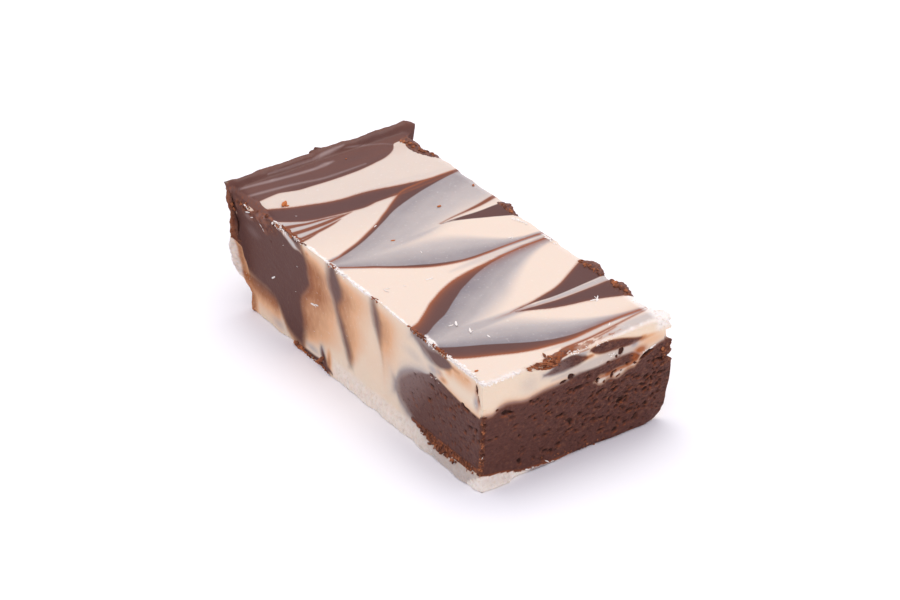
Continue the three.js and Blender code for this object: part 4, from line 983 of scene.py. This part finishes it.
for first, last, amount, sizes in (
        ((19.6, 8.2, 23.4), (19.6, 4.8, 23.4), 28, (0.25, 0.7)),
        ((19.8, -18.4, 23.4), (19.8, -25.2, 23.4), 46, (0.3, 0.9)),
        ((20.2, -28, 23.4), (20.4, -34.2, 23.4), 52, (0.3, 1.1)),
        ((17.6, 41, 23), (19.4, 32.6, 23), 44, (0.3, 1.0)),
        ((EDGE_X + 0.2, NEAR + 0.4, 15.4), (EDGE_X + 0.2, NEAR + 1, 2.4), 34, (0.25, 0.8)),
        ((-22.6, -24, 3), (-22.6, -42.5, 3.2), 80, (0.25, 0.75)),
        ((-23.2, -28, 2.4), (-23.2, -37, 2.4), 50, (0.25, 0.8)),
        ((-23, 20, 0.3), (-23, 9, 0.2), 100, (0.3, 1.0)),
        ((-23.2, 9.5, 0.3), (-23.5, 6.5, 0.1), 24, (0.3, 0.8)),
        ((-23, 10.4, 0.4), (-22.8, 9.8, 1.4), 14, (0.4, 1.0)),
        ((EDGE_X, 42, 22.4), (EDGE_X + 0.5, 28, 23.6), 16, (0.3, 0.8)),
        ((EDGE_X, 8.4, 24), (EDGE_X, 5.6, 24), 5, (0.2, 0.5)),
        ((EDGE_X, -7, 24), (EDGE_X, -9, 24), 5, (0.2, 0.5)),
        ((EDGE_X, -19.8, 24), (EDGE_X, -26, 23.8), 34, (0.25, 0.7)),
        ((EDGE_X, -27.5, 24), (EDGE_X, -33, 23.8), 26, (0.25, 0.7)),
        ((EDGE_X, 27, 23.8), (EDGE_X, 17.5, 24.2), 26, (0.3, 0.8)),
        ((21.2, NEAR + 0.3, 17.2), (21.2, NEAR + 0.5, 12.5), 24, (0.3, 0.8)),
        ((-9, NEAR + 1, 0.7), (8, NEAR + 1, 0.5), 50, (0.25, 0.6)),
        ((LEFT - 1, 43.5, 21), (LEFT - 1.5, 42, 13), 40, (0.3, 0.9))):
    strew(crumbs, dice, first, last, amount, sizes, LUMP)
strew(crumbs, dice, (-11.6, NEAR, 23.7), (-8, NEAR + 0.1, 23.2), 22, (0.5, 1.3), SHRED, 0.3, turned=TORN_WAY)
strew(crumbs, dice, (-9.5, NEAR, 23.4), (-4.5, NEAR + 0.2, 23), 50, (0.6, 1.8), SHRED, 0.7, turned=TORN_WAY)
bit(crumbs, dice, (-6.4, NEAR + 1.9, TOP), 1.5, CURL, turned=70)
crumb_mesh = finish_bits(crumbs, "chocolate_crumbs")

CRUMB_DARK = colour(98, 58, 44)
CRUMB_DUSTY = colour(182, 112, 72)
CRUMB_TOASTED = colour(198, 116, 62)
dry_chocolate, board = empty_material("dry_chocolate")
dusty = mottle(700, 4.0).eased(0.35, 0.66).blend(CRUMB_DARK, CRUMB_DUSTY)
dusty = reading("toasted").blend(dusty, CRUMB_TOASTED)
dusty = (reading("toasted") * -1).blend(dusty, CHOCOLATE)
shade({"Base Color": dusty, "Roughness": 0.75, "Specular IOR Level": 0.2})
crumb_mesh.materials.append(dry_chocolate)

# The camera looks down on the near left corner through a long lens, as from across a table, so the bar's edges run
# nearly side by side.
AIM = Vector((1.635, -0.583, 12.289)) * MM
turn, rise, distance = math.radians(-34.61), math.radians(31.70), 1002 * MM
back = Vector((math.sin(turn) * math.cos(rise), -math.cos(turn) * math.cos(rise), math.sin(rise)))
lens = bpy.data.cameras.new("camera")
lens.lens = 200
lens.sensor_width = 36
lens.clip_start, lens.clip_end = 0.05, 20
camera = show("camera", lens)
camera.location = AIM + back * distance
camera.rotation_euler = back.to_track_quat("Z", "Y").to_euler()
bpy.context.scene.camera = camera

# A plain white floor of sealed board, faintly mottled, and soft light from all round, with one panel overhead and
# a fainter one in front.
floor_shape = bmesh.new()
bmesh.ops.create_grid(floor_shape, x_segments=4, y_segments=4, size=4)
floor_mesh = bpy.data.meshes.new("floor")
floor_shape.to_mesh(floor_mesh)
floor_shape.free()
floor = show("floor", floor_mesh)
FLOOR_WHITE, FLOOR_MOTTLE = (1, 1, 1, 1), (0.985, 0.985, 0.985, 1)
white_board, board = empty_material("white_floor")
shade({"Base Color": mottle(40).blend(FLOOR_MOTTLE, FLOOR_WHITE), "Roughness": 0.9})
floor_mesh.materials.append(white_board)

def panel(name, spot, size, power, tint):
    """A square light panel that faces the bar."""
    light = bpy.data.lights.new(name, "AREA")
    light.size, light.energy, light.color = size, power, tint
    lamp = show(name, light)
    lamp.location = spot
    lamp.rotation_euler = Vector(spot).to_track_quat("Z", "Y").to_euler()

panel("overhead_panel", (0.25, 0.33, 1.05), 0.9, 6.9, (1, 0.985, 0.95))
panel("front_panel", (0.3, -1.2, 0.4), 0.8, 1.6, (1, 0.985, 0.96))
room = bpy.data.worlds.new("room")
room.use_nodes = True
glow = room.node_tree.nodes["Background"].inputs
glow["Color"].default_value = (0.95, 0.92, 1.05, 1)
glow["Strength"].default_value = 0.79
bpy.context.scene.world = room
bpy.context.scene.view_settings.view_transform = "Standard"
